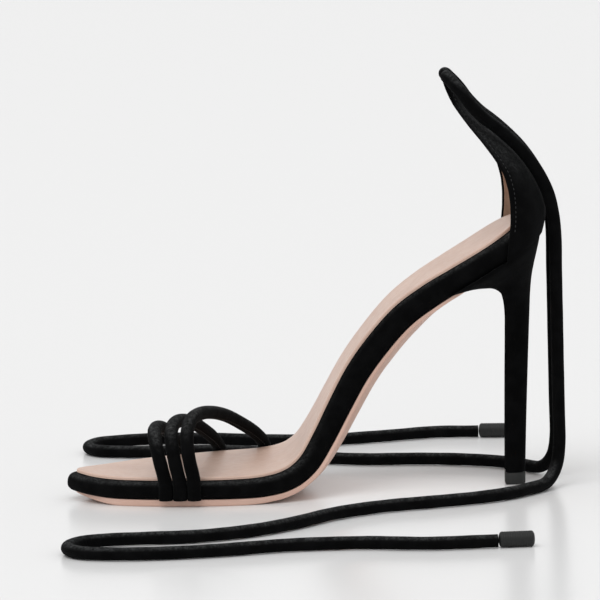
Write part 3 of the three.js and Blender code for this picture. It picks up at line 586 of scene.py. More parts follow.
def sole_leather():
    """Smooth vegetable-tanned sole leather, coloured nude, its grain just showing."""
    paint = Paint("nude_sole_leather", Specular_IOR_Level=0.4)
    grain = paint.noise(0.7, 4.0, 0.65)
    paint.leather(22.0, grain, 0.7, (0.62, 0.40, 0.32, 1), (0.70, 0.475, 0.39, 1))
    paint.feed("Roughness", paint.noise(4.0, 3.0).ramp(0.2, 0.8, 0.42, 0.6))
    paint.bump(grain * 0.5 + paint.cells(0.8) * 0.5, 0.05)
    return paint.material


def sock_leather():
    """Fine nude lining leather with a satin finish."""
    paint = Paint("nude_lining_leather", Coat_Weight=0.12, Coat_Roughness=0.35)
    grain = paint.cells(0.55).ramp(0.05, 0.55)
    paint.leather(16.0, grain, 0.6, (0.56, 0.38, 0.30, 1), (0.66, 0.47, 0.38, 1))
    paint.feed("Roughness", paint.noise(3.0, 3.0).ramp(0.25, 0.75, 0.34, 0.48))
    paint.bump(grain * 0.6 + paint.noise(0.4, 3.0) * 0.4, 0.04)
    return paint.material


def lining():
    """Kid lining, soft: its nude painted down to a darker tan as shade inside the counter, and varied in
    clouds.
    """
    paint = Paint("lining_in_painted_shade", Specular_IOR_Level=0.35)
    grain = paint.cells(0.6).ramp(0.05, 0.6)
    # Both tones are the nude darkened to tan: painted shade inside the counter
    paint.leather(11.0, grain, 0.65, (0.30, 0.175, 0.115, 1), (0.42, 0.265, 0.185, 1))
    paint.feed("Roughness", paint.noise(4.0, 2.0).ramp(0.25, 0.75, 0.5, 0.64))
    paint.bump(grain * 0.6 + paint.noise(0.5, 3.0) * 0.4, 0.05)
    return paint.material


def wound_thread():
    """Waxed black thread wound close round the end of a tie."""
    paint = Paint("wound_thread", Specular_IOR_Level=0.35, Sheen_Weight=0.03)
    fibre = paint.noise(0.22, 3.0, 0.6, stretch=(1.0, 1.0, 2.4))
    paint.feed("Base Color", paint.mix(fibre, (0.0035, 0.004, 0.004, 1), (0.010, 0.011, 0.0105, 1)))
    paint.feed("Roughness", fibre.ramp(0.3, 0.7, 0.42, 0.6))
    paint.bump(fibre, 0.06)
    return paint.material


def rubber():
    """Dark grey moulded rubber, ground a little rough at its edge."""
    paint = Paint("top_piece_rubber", Roughness=0.75, Specular_IOR_Level=0.35)
    speck = paint.noise(0.35, 3.0, 0.7)
    paint.feed("Base Color", paint.mix(speck, (0.016, 0.017, 0.0165, 1), (0.03, 0.031, 0.03, 1)))
    paint.bump(speck, 0.05)
    return paint.material


def thread():
    """Twisted polyester sewing thread, a shade lighter than the velvet."""
    colour = (0.009, 0.0094, 0.0098, 1)
    paint = Paint("black_thread", Roughness=0.55, Specular_IOR_Level=0.3, Base_Color=colour)
    paint.bump(paint.noise(0.12, 2.0), 0.04)
    return paint.material


VELVET = velvet("board_velvet")
HEEL_VELVET = velvet("heel_velvet")
COUNTER_PILE = velvet("counter_velvet", seam="edge")
CORD_VELVET = cord_velvet()
WOUND = wound_thread()
LINING = lining()
SOLE_LEATHER = sole_leather()
SOCK_LEATHER = sock_leather()
RUBBER = rubber()
THREAD = thread()


# Meshes


def piece(name, grids, material, replaces=(), numbers=None, sharp=50, closed=True):
    """One object from grids of points in millimetres, whose columns close in a ring or don't.

    A grid's last axes are row, column and place, and any axis before them repeats the shape. `numbers` are
    arrays of one number for each point, which the material reads by name.
    """
    places, faces, count = [], [], 0
    for points in grids:
        ids = np.arange(points[..., 0].size).reshape(points.shape[:-1]) + count
        right = np.roll(ids, -1, axis=-1) if closed else ids[..., 1:]
        left = ids if closed else ids[..., :-1]
        corners = [left[..., :-1, :], right[..., :-1, :], right[..., 1:, :], left[..., 1:, :]]
        faces.append(np.stack(corners, -1).reshape(-1, 4))
        places.append(points.reshape(-1, 3))
        count += ids.size
    faces = np.concatenate(faces).astype(np.int32)
    mesh = bpy.data.meshes.new(name)
    mesh.vertices.add(count)
    mesh.vertices.foreach_set("co", placed(np.concatenate(places)).ravel())
    mesh.loops.add(faces.size)
    mesh.loops.foreach_set("vertex_index", faces.ravel())
    mesh.polygons.add(len(faces))
    mesh.polygons.foreach_set("loop_start", np.arange(0, faces.size, 4, dtype=np.int32))
    mesh.update(calc_edges=True)
    for key, values in (numbers or {}).items():
        mesh.attributes.new(key, "FLOAT", "POINT").data.foreach_set("value", np.ravel(values))
    tidy(mesh)
    mesh.shade_smooth()
    mesh.set_sharp_from_angle(angle=math.radians(sharp))
    mesh.materials.append(material)
    made = add_object(name, mesh)
    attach(made, "root")
    if replaces:
        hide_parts(*replaces)
    return made


def tidy(mesh):
    """Joins corners that coincide, drops the faces that this closes up and turns the rest outwards."""
    work = bmesh.new()
    work.from_mesh(mesh)
    bmesh.ops.remove_doubles(work, verts=work.verts, dist=2e-6)
    bmesh.ops.dissolve_degenerate(work, edges=work.edges, dist=1e-6)
    bmesh.ops.recalc_face_normals(work, faces=work.faces)
    work.to_mesh(mesh)
    work.free()


# The board and what is cut to it


def share_turn(share):
    """Stations bunch up at the toe and the heel: the turn of a half circle whose shadow is that share."""
    return np.arccos(1 - 2 * np.clip(share, 0, 1)) / np.pi


PATTERN = {**BOARD_PATTERN, "turn": share_turn(BOARD_PATTERN["along"])}


def board_edge(turn, hand):
    """Edge of the flat board on one hand: along as the shadow of a half turn, across by the pattern."""
    along = (1 - np.cos(np.pi * turn)) / 2 * FEATHER.length
    across = hand * BALL_WIDTH * smooth(PATTERN, "turn", "inner" if hand < 0 else "outer", turn)
    return joined(along, across)


def board_thickness(along):
    """Thickness of the board at a length along the feather line."""
    return smooth(BOARD_THICKNESS, "along", "thick", along / FEATHER.length)


def board_middle(along):
    """The middle line of the board, which stays back from its round ends."""
    along = np.clip(along, ROUND_END, FEATHER.length - ROUND_END)
    turn = share_turn(along / FEATHER.length)
    across = (board_edge(turn, -1)[..., 1] + board_edge(turn, 1)[..., 1]) / 2
    return joined(along, across)


def inward(edge, other, hand, closed_end=True):
    """Directions into the sheet, square to the line between an edge point's neighbours."""
    before = np.vstack([other[1:2], edge[:-1]])
    after = np.vstack([edge[1:], other[-2:-1] if closed_end else edge[-1:]])
    way = unit(after - before)
    return joined(way[:, 1], -way[:, 0]) * hand


def sheet_halves(line, edges, profile, height, middle, closed_end=True):
    """Grids of the two halves of a sheet bent along a line.

    For each (share, inset, row) of the profile, the edge goes in by the inset, then by that share of the way
    to the middle line, and is put off the bent line by the height there.
    """
    halves = []
    for hand, edge, other in ((-1, *edges), (1, *edges[::-1])):
        ways = inward(edge, other, hand, closed_end)
        rows = []
        for to_middle, inset, row in profile:
            flat = edge + ways * inset
            flat = flat + (middle - flat) * to_middle
            rows.append(line.put(flat[:, 0], flat[:, 1], height(flat[:, 0], row, to_middle)))
        halves.append(np.stack(rows, 1))
    return halves


TURNS = np.linspace(0, 1, 301)
BOARD_EDGES = [board_edge(TURNS, -1), board_edge(TURNS, 1)]
BOARD_MIDDLE = board_middle(BOARD_EDGES[0][:, 0])


def rim_line(count):
    """The rounded edge of the board as a smooth line of (inset, height)."""
    flattened = np.array([8, 1])
    points = joined(RIM_PROFILE["inset"], RIM_PROFILE["height"])[1:-1] / flattened
    line = through(points)
    return evenly(line, lengths(line)[-1] / count) * flattened


def turned_edge(inset, radius, start):
    """Rows of a profile round a quarter turn, from the row `start` up to 1."""
    quarter = np.linspace(0, np.pi / 2, 6)
    return [(0, inset + radius * (1 - np.cos(a)), start + (1 - start) * np.sin(a)) for a in quarter]


def make_board():
    """The board, padded and covered with velvet, its edge rolled."""
    rim = rim_line(26)
    profile = [(m, RIM_UNDER, 0.0) for m in (1, 0.66, 0.33, 0.12)]
    profile += [(0, inset, height) for inset, height in rim]
    profile += [(m, RIM_TOP, 1.0) for m in (0.12, 0.33, 0.66, 1)]

    def height(along, row, _):
        return row * board_thickness(along)

    grids = sheet_halves(FEATHER, BOARD_EDGES, profile, height, BOARD_MIDDLE)
    piece("board_cover", grids, VELVET, ["insole_board"], closed=False)


def make_sock():
    """The leather sock glued on top of the board, with a turned edge."""
    profile = [(m, SOCK_INSET, 0) for m in (1, 0.5, 0)]
    profile += [(0, SOCK_INSET, 0.45), *turned_edge(SOCK_INSET, SOCK_ROUND, 0.55)]
    profile += [(m, SOCK_INSET + SOCK_ROUND, 1.0) for m in np.linspace(0.04, 1, 14)]

    def height(along, row, _):
        return board_thickness(along) + FIT + row * SOCK_THICKNESS

    grids = sheet_halves(FEATHER, BOARD_EDGES, profile, height, BOARD_MIDDLE)
    piece("sock", grids, SOCK_LEATHER, ["sock_lining"], closed=False)


# The heel's front line, and the sole line that runs down it


def heel_level(level):
    """Height of a share of the way from the top piece to the seat."""
    return TOP_PIECE + FIT + level * (HEEL_HEIGHT - TOP_PIECE - FIT)


BREAST_X = TIP_FRONT - BREAST_LINE["forward"] * (TIP_FRONT - SEAT_FRONT)
BREAST = evenly(through(joined(BREAST_X, heel_level(BREAST_LINE["level"]))), 0.1)
FLAP_BACK = FLAP_RECESS + FLAP_THICKNESS


def heel_width(share):
    """Width of the heel, at a share of the way along the line of its front."""
    width = smooth(HEEL_SECTIONS, "front", "width", share)
    return TIP_WIDTH + width * (SEAT_WIDTH - TIP_WIDTH)


def sole_line():
    """The feather line as far as the waist, and on down the front of the heel, a little behind it."""
    way = ways_along(BREAST)
    back = BREAST + joined(way[:, 1], -way[:, 0]) * FLAP_BACK
    flap = back[::-1]
    flap = flap[flap[:, 1] < board_underside(flap[:, 0]) - FIT]
    flap = evenly(flap, step=3.0)
    waist_end = flap[0, 0] - FLAP_BEND
    start = np.array([[waist_end, board_underside(waist_end)]])
    bend = evenly(through(np.vstack([start, flap])), 0.1)
    before = FEATHER.points[FEATHER.points[:, 0] < waist_end - 0.05]
    return SideLine(np.vstack([before, bend])), lengths(np.vstack([before, start]))[-1]


SOLE_LINE, FLAP_START = sole_line()


def flap_half(along):
    """Half width of the flap, inside the covered edges of the front of the heel."""
    place = SOLE_LINE.place(along)
    gap = np.linalg.norm(place[:, None] - BREAST[None], axis=-1)
    share = gap.argmin(1) / (len(BREAST) - 1)
    return heel_width(share) / 2 * HEEL_FRONT_FLAT - FLAP_MARGIN + OUTSOLE_INSET


def make_outsole():
    """The leather outsole: skived at the toe, rounded under the waist, and thin down the heel.

    Its edge stands back from the tip of the toe, and tucks in under the board just before the heel, so that
    the heel's cover hides it there.
    """
    turns = np.linspace(0, share_turn(FLAP_START / FEATHER.length), 240)
    down = np.linspace(FLAP_START, SOLE_LINE.length - FLAP_SHORT, 190)[1:]
    half = flap_half(down)
    edges = []
    for hand in (-1, 1):
        sole = board_edge(turns, hand)
        ways = inward(sole, board_edge(turns, -hand), hand, closed_end=False)
        back = TOE_SET_BACK * eased(1 - sole[:, 0] / TOE_SKIVE)
        tuck = TUCK * eased((sole[:, 0] - FLAP_START + TUCK_LENGTH) / TUCK_LENGTH)
        sole = sole + ways * (back + tuck)[:, None]
        blend = eased((down - FLAP_START) / FLAP_BLEND)
        across = sole[-1, 1] + (hand * half - sole[-1, 1]) * blend
        edges.append(np.vstack([sole, joined(down, across)]))
    along = edges[0][:, 0]
    middle = board_middle(np.clip(along, ROUND_END, FLAP_START))
    middle[:, 0] = np.maximum(along, ROUND_END)
    flat_middle = (edges[0][:, 1] + edges[1][:, 1]) / 2
    middle[:, 1] = np.where(along < FLAP_START, middle[:, 1], flat_middle)

    def height(place, row, to_middle):
        share = np.minimum(place / FLAP_START, 1)
        if row < 0:
            return np.full_like(place, -FIT)
        thin = TOE_THIN + (1 - TOE_THIN) * eased(place / TOE_SKIVE)
        edge = smooth(OUTSOLE_DEPTH, "along", "edge", share) * thin
        belly = smooth(OUTSOLE_DEPTH, "along", "middle", share) - edge
        return -np.maximum(FIT, edge * row + belly * (1 - (1 - to_middle) ** 2))

    profile = [(m, OUTSOLE_INSET, -1) for m in (1, 0.5, 0)]
    profile += [(0, OUTSOLE_INSET, 0.35), *turned_edge(OUTSOLE_INSET, SOLE_ROUND, 0.7)]
    profile += [(m, OUTSOLE_INSET + SOLE_ROUND, 1) for m in np.linspace(0.05, 1, 16)]
    grids = sheet_halves(SOLE_LINE, edges, profile, height, middle, closed_end=False)
    for grid in grids:
        grid[..., 2] = np.maximum(grid[..., 2], 0)
    end = np.stack([grid[-1] for grid in grids])
    piece("sole", [*grids, end], SOLE_LEATHER, ["outsole"], closed=False)


# The heel


def half_outline():
    """The heel's rounded outline behind its flat front: (share of its depth, share of its half width)."""
    points = joined(HEEL_OUTLINE["back"], HEEL_OUTLINE["half"])[1:]
    return through(points, 8)


def both_sides(right):
    """Closed rings from their right halves, which start and end on the middle line."""
    return np.concatenate([right, right[:, -2:0:-1] * [1, -1, 1]], 1)


def drawn_in(ring):
    """A ring with all its points at its middle, which closes an end."""
    return np.broadcast_to(ring.mean(1, keepdims=True), ring.shape)


def make_heel():
    """The velvet-covered heel: half-round sections with a channel down the front for the sole's leather.

    A section lies between a point of the front line and a point of the back line. The channel is narrower
    than the flat front by the covered lips beside it. The cover laps up a little over the board's lower edge.
    """
    at = np.linspace(0, 1, 240)
    front = along_line(BREAST, at * lengths(BREAST)[-1])
    tip_back = TIP_FRONT + TIP_LENGTH
    seat_back = BOARD_LENGTH + HEEL_OVERHANG
    rear_x = tip_back + smooth(HEEL_SECTIONS, "front", "back", at) * (seat_back - tip_back)
    rear = joined(rear_x, heel_level(smooth(HEEL_SECTIONS, "front", "level", at)))
    half = heel_width(at) / 2
    depth = np.linalg.norm(rear - front, axis=-1)
    lip = half * HEEL_FRONT_FLAT
    slot = lip - FLAP_MARGIN + FIT
    deep = FLAP_BACK + FIT
    floor = [(deep, 0), (deep, slot * 0.6), (deep, slot - 0.12), (deep - 0.12, slot)]
    bend = [(0.42, slot), (0.16, slot + 0.07), (0.04, slot + 0.2), (0, slot + 0.4)]
    front_edge = [(0.03, lip - 0.1), (0.1 + 0.01 * depth, lip + 0.01 * half)]
    side = np.stack([joined(*row, half)[..., :2] for row in floor + bend + front_edge], 1)
    behind = half_outline() * joined(depth, half)[:, None]
    section = np.concatenate([side, behind], 1)
    share = section[..., :1] / depth[:, None, None]
    place = front[:, None] + (rear - front)[:, None] * share
    grid = both_sides(joined(place[..., 0], section[..., 1], place[..., 1]))
    slope = (HEEL_HEIGHT - board_underside(BOARD_LENGTH - SEAT_END)) / SEAT_END
    beyond = np.maximum(grid[..., 0] - BOARD_LENGTH, 0)
    lap = SEAT_LAP * eased((SEAT_LAP_END - grid[..., 0]) / SEAT_LAP_FADE)
    ceiling = board_underside(grid[..., 0]) + beyond * slope - FIT
    grid[..., 2] = np.minimum(grid[..., 2], ceiling + lap)
    grid = np.concatenate([drawn_in(grid[:1]), grid])
    piece("heel_cover", [grid], HEEL_VELVET, ["heel"], sharp=40)


def make_top_piece():
    """The rubber top piece, flush with the heel: its outline, shrunk at each height by a rounded profile."""
    edge = [(0, 2), (0, 0.45), (0.12, 0.16), (0.45, 0), (TOP_PIECE - 0.12, 0), (TOP_PIECE, 0.12)]
    height, shrink = np.array([*edge, (TOP_PIECE, 2)]).T[..., None]
    flat = [[0, 0], [0, HEEL_FRONT_FLAT * 0.9], [0.02, HEEL_FRONT_FLAT]]
    outline = np.vstack([flat, half_outline()])
    x = TIP_FRONT + shrink + outline[:, 0] * (TIP_LENGTH - 2 * shrink)
    y = outline[:, 1] * (TIP_WIDTH / 2 - shrink)
    grid = both_sides(joined(x, y, height))
    grid = np.concatenate([drawn_in(grid[:1]), grid, drawn_in(grid[-1:])])
    piece("top_piece_rubber", [grid], RUBBER, ["top_piece"], sharp=60)


# The counter: the source's own rows place the ties, and calmed ones shape the surface

COUNTER = {**COUNTER_SECTIONS, "row": np.arange(len(COUNTER_SECTIONS["width"]))}
COUNTER_ROWS = len(COUNTER["row"]) - 1


def calmed(table, steps=40, reach=28):
    """The same table with `steps` rows for each, every one a mean with the `reach` rows on each side of it.

    The mean is weighted by a raised cosine, and past an end the table goes on as its own half turn about
    that end. So no row shows as a band.
    """
    row = np.linspace(0, COUNTER_ROWS, steps * COUNTER_ROWS + 1)
    weights = np.hanning(2 * reach + 1)
    calm = {"row": row}
    for key in COUNTER_SECTIONS:
        fine = smooth(table, "row", key, row)
        before = 2 * fine[0] - fine[reach:0:-1]
        after = 2 * fine[-1] - fine[-2 : -reach - 2 : -1]
        around = np.concatenate([before, fine, after])
        calm[key] = np.convolve(around, weights / weights.sum(), "valid")
    return calm


COUNTER_SKIN = calmed(COUNTER)


def counter_ends(at, table=COUNTER_SKIN):
    """Front and back of the counter's section at a row of its table, seen from the side."""
    fullest = BOARD_LENGTH + COUNTER_BULGE
    for side in ("front", "back"):
        x = fullest - smooth(table, "row", side, at) * COUNTER_LEAN
        z = HEEL_HEIGHT + smooth(table, "row", side + "_rise", at) * COUNTER_HEIGHT
        yield joined(x, z)


def counter_depth(at, table=COUNTER_SKIN):
    """Depth of the counter's section at a row, from front to back."""
    front, back = counter_ends(at, table)
    return np.linalg.norm(front - back, axis=-1)


def counter_point(at, turn, inset, table=COUNTER_SKIN):
    """A half ellipse round the back of the foot: `turn` is -1 at its inner front, 0 behind, 1 outside."""
    at, turn, inset = np.broadcast_arrays(at, turn, inset)
    front, back = counter_ends(at, table)
    depth = counter_depth(at, table) - inset
    half = smooth(table, "row", "width", at) * COUNTER_WIDTH / 2 - inset
    angle = turn * np.pi / 2
    place = front + unit(back - front) * (depth * np.cos(angle))[..., None]
    return joined(place[..., 0], half * np.sin(angle), place[..., 1])


def counter_sheet(outer, inner, margin, foot_lift=0.0, turned_in=0.0):
    """A sheet of the counter between two insets, its edges `margin` from the counter's, and half round.

    Its foot stops `foot_lift` above the underside of the board, or turns in under the board by `turned_in`.
    Each row is a ring: along the outside, round one front edge, back along the inside and round the other.
    Returns the grid and the distance of each point from the counter's front edge.
    """
    rows, across = 150, 89
    radius = (inner - outer) / 2
    top = np.linspace(0, np.pi / 2, 6)
    last_half_row = list(counter_ends(np.array([COUNTER_ROWS - 0.5, COUNTER_ROWS]), COUNTER))
    per_row = np.linalg.norm(np.diff(last_half_row, axis=1)) * 2
    rise = (margin + radius * (1 - np.sin(top))) / per_row
    at = np.concatenate([np.linspace(0, COUNTER_ROWS - rise[0], rows), COUNTER_ROWS - rise[1:]])
    thick = np.concatenate([np.ones(rows), np.cos(top[1:])])
    at, thick = at[:, None], thick[:, None]
    per_turn = counter_depth(at) * np.pi / 2
    end = 1 - (margin + radius) / per_turn
    over = np.linspace(-1, 1, across) * end
    bend = np.linspace(0, np.pi, 7)[1:-1]
    lip = end + radius * np.sin(bend) / per_turn
    turn = np.concatenate([over, lip, over[:, ::-1], -lip], 1)
    middle = (inner + outer) / 2
    out = np.concatenate([np.full(across, -1), -np.cos(bend), np.full(across, 1), np.cos(bend)])
    inset = middle + out * radius * thick
    grid = counter_point(at, turn, inset)
    grid[..., 2] = np.maximum(grid[..., 2], board_underside(grid[..., 0]) + foot_lift)
    gap = (1 - np.abs(turn)) * per_turn
    feet = []
    for depth in (middle, inset[:1]):
        foot = counter_point(at[:1], turn[:1], depth + turned_in)
        under = board_underside(foot[..., 0]) - FIT / 2
        foot[..., 2] = under if turned_in else grid[:1, :, 2]
        feet.append(foot)
    return np.concatenate([*feet, grid]), np.concatenate([gap[:1], gap[:1], gap])


def make_counter():
    """The velvet of the counter folded over its edge, its leather lining, and the seam along the edge."""
    grid, gap = counter_sheet(0, COUNTER_VELVET, 0, turned_in=COUNTER_TURNED_IN)
    piece("counter_velvet", [grid], COUNTER_PILE, ["counter"], {"edge": gap})
    velvet_back = COUNTER_VELVET - LINING_UNDER
    grid, _ = counter_sheet(velvet_back, COUNTER_WALL, LINING_MARGIN, foot_lift=LINING_LIFT)
    piece("counter_lining", [grid], LINING)
    for side, hand in SIDES:
        at = np.linspace(*SEAM_ROWS, 400)
        inwards = 1 - SEAM_INSET / (counter_depth(at) * np.pi / 2)
        line = counter_point(at, hand * inwards, 0)
        inside = counter_point(at, hand * inwards, 1)
        grid = stitches(line, unit(line - inside), SEAM_PITCH)
        piece(f"counter_seam_{side}", [grid], THREAD)


# Sewing


def stitches(line, out, pitch, length=1.25, width=0.42):
    """Stitches along a line, each a small spindle half sunk into the pile.

    Its width is the root of 1 less the fourth power of the share of the way from its middle to an end.
    """
    reach = lengths(line)
    at = np.arange(pitch / 2, reach[-1], pitch)
    place = along_line(line, at)
    way = unit(along_line(line, at + 0.2) - along_line(line, at - 0.2))
    out = between(out, reach, at)
    side = unit(np.cross(way, out))
    out = np.cross(side, way)
    rows = np.linspace(-1, 1, 6)[:, None]
    cols = full_turn(6)
    swell = np.sqrt(np.maximum(0, 1 - rows**4)) * width / 2
    height = swell * np.sin(cols) * 0.8 + 0.04 - 0.14 * np.abs(rows) ** 3
    local = joined(rows * length / 2, swell * np.cos(cols), height)
    axes = np.stack([way, side, out], 1)
    return place[:, None, None] + np.einsum("rcx,nxk->nrck", local, axes)


# Cords


def tube(line, out, wide, thick, sides):
    """A closed tube round a line: ellipses `wide` along its side direction and `thick` along `out`.

    Returns the grid, and the numbers of each point: the length along the line and the share of the way
    round from the `out` direction, which runs from 0 to 1 and back.
    """
    way = ways_along(line)
    side = unit(np.cross(way, out))
    out = np.cross(side, way)
    angle = full_turn(sides)
    y = np.cos(angle) * np.broadcast_to(thick, len(line))[:, None] / 2
    x = np.sin(angle) * np.broadcast_to(wide, len(line))[:, None] / 2
    grid = line[:, None] + out[:, None] * y[..., None] + side[:, None] * x[..., None]
    caps = [np.broadcast_to(line[k], grid[k].shape)[None] for k in (0, -1)]
    grid = np.concatenate([caps[0], grid, caps[1]])
    reach = lengths(line)
    along = np.concatenate([reach[:1], reach, reach[-1:]])[:, None]
    around = 1 - np.abs(angle / np.pi - 1)
    along, around = np.broadcast_arrays(along, around)
    return grid, {"along": along, "around": around}


def rounded(at, length, radius):
    """Share of the full width along a cord, whose ends are rounded by a quarter circle of `radius`."""
    gap = np.clip(np.minimum(at, length - at) / radius, 0, 1)
    return np.sqrt(np.maximum(1 - (1 - gap) ** 2, 1e-4))


def edge_at(x, hand):
    """Distance of the board's edge from the long axis, at a distance from the toe tip."""
    along = np.interp(x, FEATHER.points[:, 0], FEATHER.reach)
    return abs(board_edge(share_turn(along / FEATHER.length), hand)[1])


def toe_cord_line(inner, outer, peak):
    """The line of a toe cord: up from under one edge of the board, over the toes and down to the other."""
    feet = []
    for x, hand in ((inner, -1), (outer, 1)):
        y = hand * (edge_at(x, hand) + CORD_FOOT["out"])
        z = board_underside(x) + CORD_FOOT["up"]
        feet.append(joined(x, y, z))
    start, end = feet
    arch = start[2] + (end[2] - start[2]) * CORD_ARCH["across"][:, None]
    arch[:, 0] -= CORD_ARCH["lean"] * CORD_WIDTH
    arch[:, 2] += CORD_ARCH["rise"] * (peak - arch[:, 2])
    return evenly(through(np.vstack([start, arch, end[::-1]])), step=0.5)


def make_toe_cords():
    """Three velvet cords over the toes, pressed flat where they go in under the edge of the board.

    Each is a tube whose thickness eases from flat to round at both ends.
    """
    names = ("front", "middle", "rear")
    for n, row in enumerate(zip(*TOE_CORDS.values())):
        line = toe_cord_line(*row)
        at = lengths(line)
        length = at[-1]
        way = ways_along(line)
        out = unit(np.cross((-1, 0, 0), way))
        opened = eased((np.minimum(at, length - at) - CORD_PRESSED) / CORD_OPENING)
        thick = CORD_FLAT + (CORD_WIDTH - CORD_FLAT) * opened
        wide = CORD_WIDTH * (1 + CORD_SWAY * np.sin(at * 0.9 + n))
        grid, numbers = tube(line, out, wide, thick, sides=40)
        name = f"toe_strap_{names[n]}"
        piece(f"{name}_cord", [grid], CORD_VELVET, [name], numbers)
        side = unit(np.cross(way, out))
        to_heel = side * np.sign(side[:, :1])
        lean = math.radians(CORD_SEAM_LEAN)
        face = unit(out * math.cos(lean) + to_heel * math.sin(lean))
        up = math.cos(lean) * thick / 2
        over = math.sin(lean) * wide / 2
        seam = line + out * up[:, None] + to_heel * over[:, None]
        inside = (at > CORD_SEAM_ENDS) & (at < length - CORD_SEAM_ENDS)
        grid = stitches(seam[inside], face[inside], CORD_SEAM_PITCH, length=1.0, width=0.36)
        piece(f"{name}_seam", [grid], THREAD)


# The ties

ON_FLOOR = TIE_DIAMETER / 2 + TIE_LIFT


def root_points(hand):
    """The line of the root of a tie: up out of the top of the counter and over to one side."""
    x = BOARD_LENGTH + COUNTER_BULGE - COUNTER["back"][-1] * COUNTER_LEAN
    z = HEEL_HEIGHT + COUNTER["back_rise"][-1] * COUNTER_HEIGHT
    out = hand * ROOT_REACH * TIE_ROOT["out"]
    return joined(x - TIE_ROOT["forward"], out, z + TIE_ROOT["up"])


def tie_points(side, hand):
    """The chosen points of a tie.

    It runs out of its root, down the back of the counter, free behind the heel, round a bend of TIE_BEND and
    on along the floor.
    """
    root = root_points(hand)
    way = unit(root[-1] - root[-2])
    start = root[-1] + way * FIT
    stand = TIE_DIAMETER / 2 + FIT + TIE_REST["clear"]
    rest = counter_point(TIE_REST["row"], hand * TIE_REST["turn"], -stand, COUNTER)
    x, y = rest[-1, 0] + TIE_SWING, rest[-1, 1]
    fall = np.array([(x, y, share * HEEL_HEIGHT) for share in TIE_HANG])
    angle = np.radians([0, 30, 55, 75, 90])
    run = TIE_BEND * (1 - np.cos(angle))
    height = ON_FLOOR + TIE_BEND * (1 - np.sin(angle))
    bend = joined(x + TIE_HEADING[0] * run, y + hand * TIE_HEADING[1] * run, height)
    lay = joined(x - TIE_LAY[side]["forward"], hand * TIE_LAY[side]["out"], ON_FLOOR)
    return np.vstack([start, start + way * TIE_RUN_ON, rest, fall, bend, lay])


def upright(line):
    """Directions square to a line that stay as they are carried along it, up at its end."""
    way = ways_along(line)
    out = np.empty_like(line)
    out[-1] = (0, 0, 1)
    for i in range(len(line) - 2, -1, -1):
        carried = out[i + 1] - way[i] * (out[i + 1] @ way[i])
        out[i] = carried / np.linalg.norm(carried)
    return out


def make_tie(side, hand):
    """A tie: a limp velvet cord, and the wrapped end on it.

    The tube's width sways by the product of two sines along it, and its thickness the other way.
    """
    points = tie_points(side, hand)
    line = evenly(through(points), step=1.1)
    reach = lengths(line)
    sway = TIE_SWAY * np.sin(reach / 7.3 + hand) * np.sin(reach / 2.9)
    wide = TIE_DIAMETER * (1 + sway)
    thick = TIE_DIAMETER * (1 - sway) - TIE_LIFT / 2
    grid, numbers = tube(line, upright(line), wide, thick, sides=24)
    cord = piece(f"tie_{side}_cord", [grid], CORD_VELVET, [f"tie_{side}"], numbers)
    tip = make_tie_tip(side, through(points))


def make_tie_tip(side, line):
    """The end of a tie, wound with waxed thread in a close helix and rounded over at its ends.

    The thread stands out by the size of the sine of the length along the tip and half the angle round it.
    """
    way = line[-1] - line[-2]
    way[2] = 0
    way = unit(way)
    start = line[-1] + way * FIT
    start[2] = TIP_DIAMETER / 2 + TIP_LIFT
    at = np.linspace(0, TIE_TIP_LENGTH, 150)
    axis = start + way * at[:, None]
    out = np.broadcast_to((0.0, 0.0, 1.0), axis.shape)
    swell = rounded(at, TIE_TIP_LENGTH, TIP_ROUND)
    size = TIP_DIAMETER * (TIP_END_WIDTH + (1 - TIP_END_WIDTH) * swell)
    sides = 40
    grid, numbers = tube(axis, out, size, size, sides)
    along = numbers["along"]
    angle = full_turn(sides)
    thread = WINDING_DEPTH * np.abs(np.sin(np.pi * along / WINDING_PITCH + angle / 2))
    wound = (along > WINDING_ENDS[0]) & (along < TIE_TIP_LENGTH - WINDING_ENDS[1])
    centre = np.concatenate([axis[:1], axis, axis[-1:]])[:, None]
    sunk = (WINDING_DEPTH - thread) * wound
    grid += (centre - grid) / (TIP_DIAMETER / 2) * sunk[..., None]
    return piece(f"tie_tip_{side}_wound", [grid], WOUND, [f"tie_tip_{side}"], numbers)


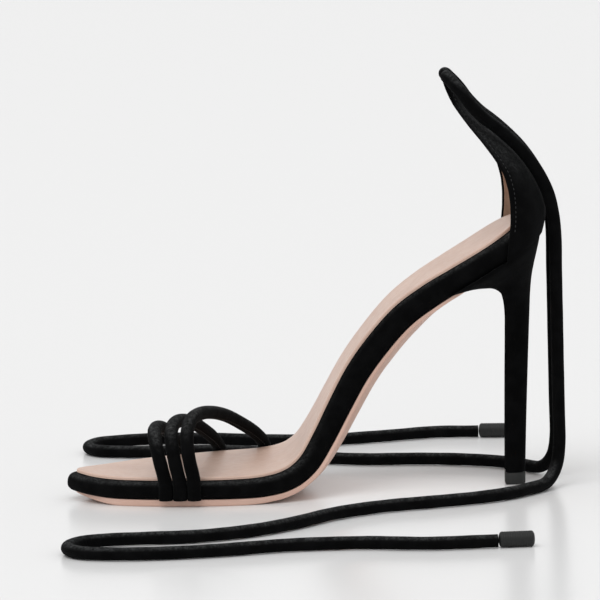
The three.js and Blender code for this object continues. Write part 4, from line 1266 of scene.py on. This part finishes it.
def make_tie_roots():
    """Where the ties come out of the top of the counter: sewn flat between velvet and lining, then round.

    Each reaches a little way into its cord.
    """
    front, back = (end[0] for end in counter_ends(np.array([COUNTER_ROWS - 1])))
    behind = unit(np.array([back[0] - front[0], 0, back[1] - front[1]]))
    for side, hand in SIDES:
        line = evenly(through(root_points(hand)), step=0.4)
        onward, narrowed = np.array(ROOT_END).T
        line = np.vstack([line, line[-1] + unit(line[-1] - line[-2]) * onward[:, None]])
        at = lengths(line)
        opened = eased((at - ROOT_PRESSED) / ROOT_OPENING)
        line += behind * (ROOT_BACK * (1 - opened))[:, None]
        shrink = np.ones_like(at)
        shrink[-len(narrowed) :] = narrowed
        thick = (ROOT_FLAT + (TIE_DIAMETER - ROOT_FLAT) * opened) * shrink
        wide = TIE_DIAMETER * (ROOT_NARROW + (1 - ROOT_NARROW) * opened) * shrink
        grid, numbers = tube(line, np.broadcast_to(behind, line.shape), wide, thick, sides=32)
        piece(f"tie_root_{side}", [grid], CORD_VELVET, numbers=numbers)


# Floor and light


def make_floor():
    """A pale studio floor that runs back out of sight, with a faint gloss that mirrors what stands on it."""
    tone = (0.86, 0.86, 0.86, 1)
    paint = Paint("studio_floor", Base_Color=tone, Specular_IOR_Level=0.3, Roughness=0.22)
    ring = full_turn(96)
    radius = np.array([0.5, 2, 8, 40, 90])[:, None]
    x, y = radius * np.cos(ring), radius * np.sin(ring)
    places = np.vstack([joined(x, y, 0).reshape(-1, 3), [0, 0, 0]])
    ids = np.arange(x.size).reshape(x.shape)
    turned = np.roll(ids, -1, axis=1)
    faces = joined(ids[:-1], ids[1:], turned[1:], turned[:-1]).reshape(-1, 4).tolist()
    faces += joined(ids[0], turned[0], x.size).tolist()
    mesh = bpy.data.meshes.new("studio_floor")
    mesh.from_pydata(places.tolist(), [], faces)
    mesh.materials.append(paint.material)
    add_object("studio_floor", mesh)


def add_light():
    """A pale room lit evenly from all round, and one broad light high on the toe side.

    The broad light is as strong over the whole floor, so that the floor stays one tone to its far end.
    """
    data = bpy.data.lights.new("light_broad", "SUN")
    data.energy = 1.0
    data.angle = math.radians(40)
    light = add_object("light_broad", data)
    light.location = (-0.7, -0.9, 2.2)
    light.rotation_mode = "QUATERNION"
    light.rotation_quaternion = (Vector((0, 0, 0.07)) - light.location).to_track_quat("-Z", "Y")
    world = bpy.data.worlds.new("pale_room")
    world.use_nodes = True
    background = world.node_tree.nodes["Background"]
    background.inputs["Color"].default_value = (1.0, 1.0, 1.0, 1)
    background.inputs["Strength"].default_value = 0.79
    bpy.context.scene.world = world
    bpy.context.scene.view_settings.view_transform = "Standard"


add_light()
make_floor()
for side, hand in SIDES:
    make_tie(side, hand)
make_tie_roots()
make_board()
make_sock()
make_outsole()
make_heel()
make_top_piece()
make_counter()
make_toe_cords()
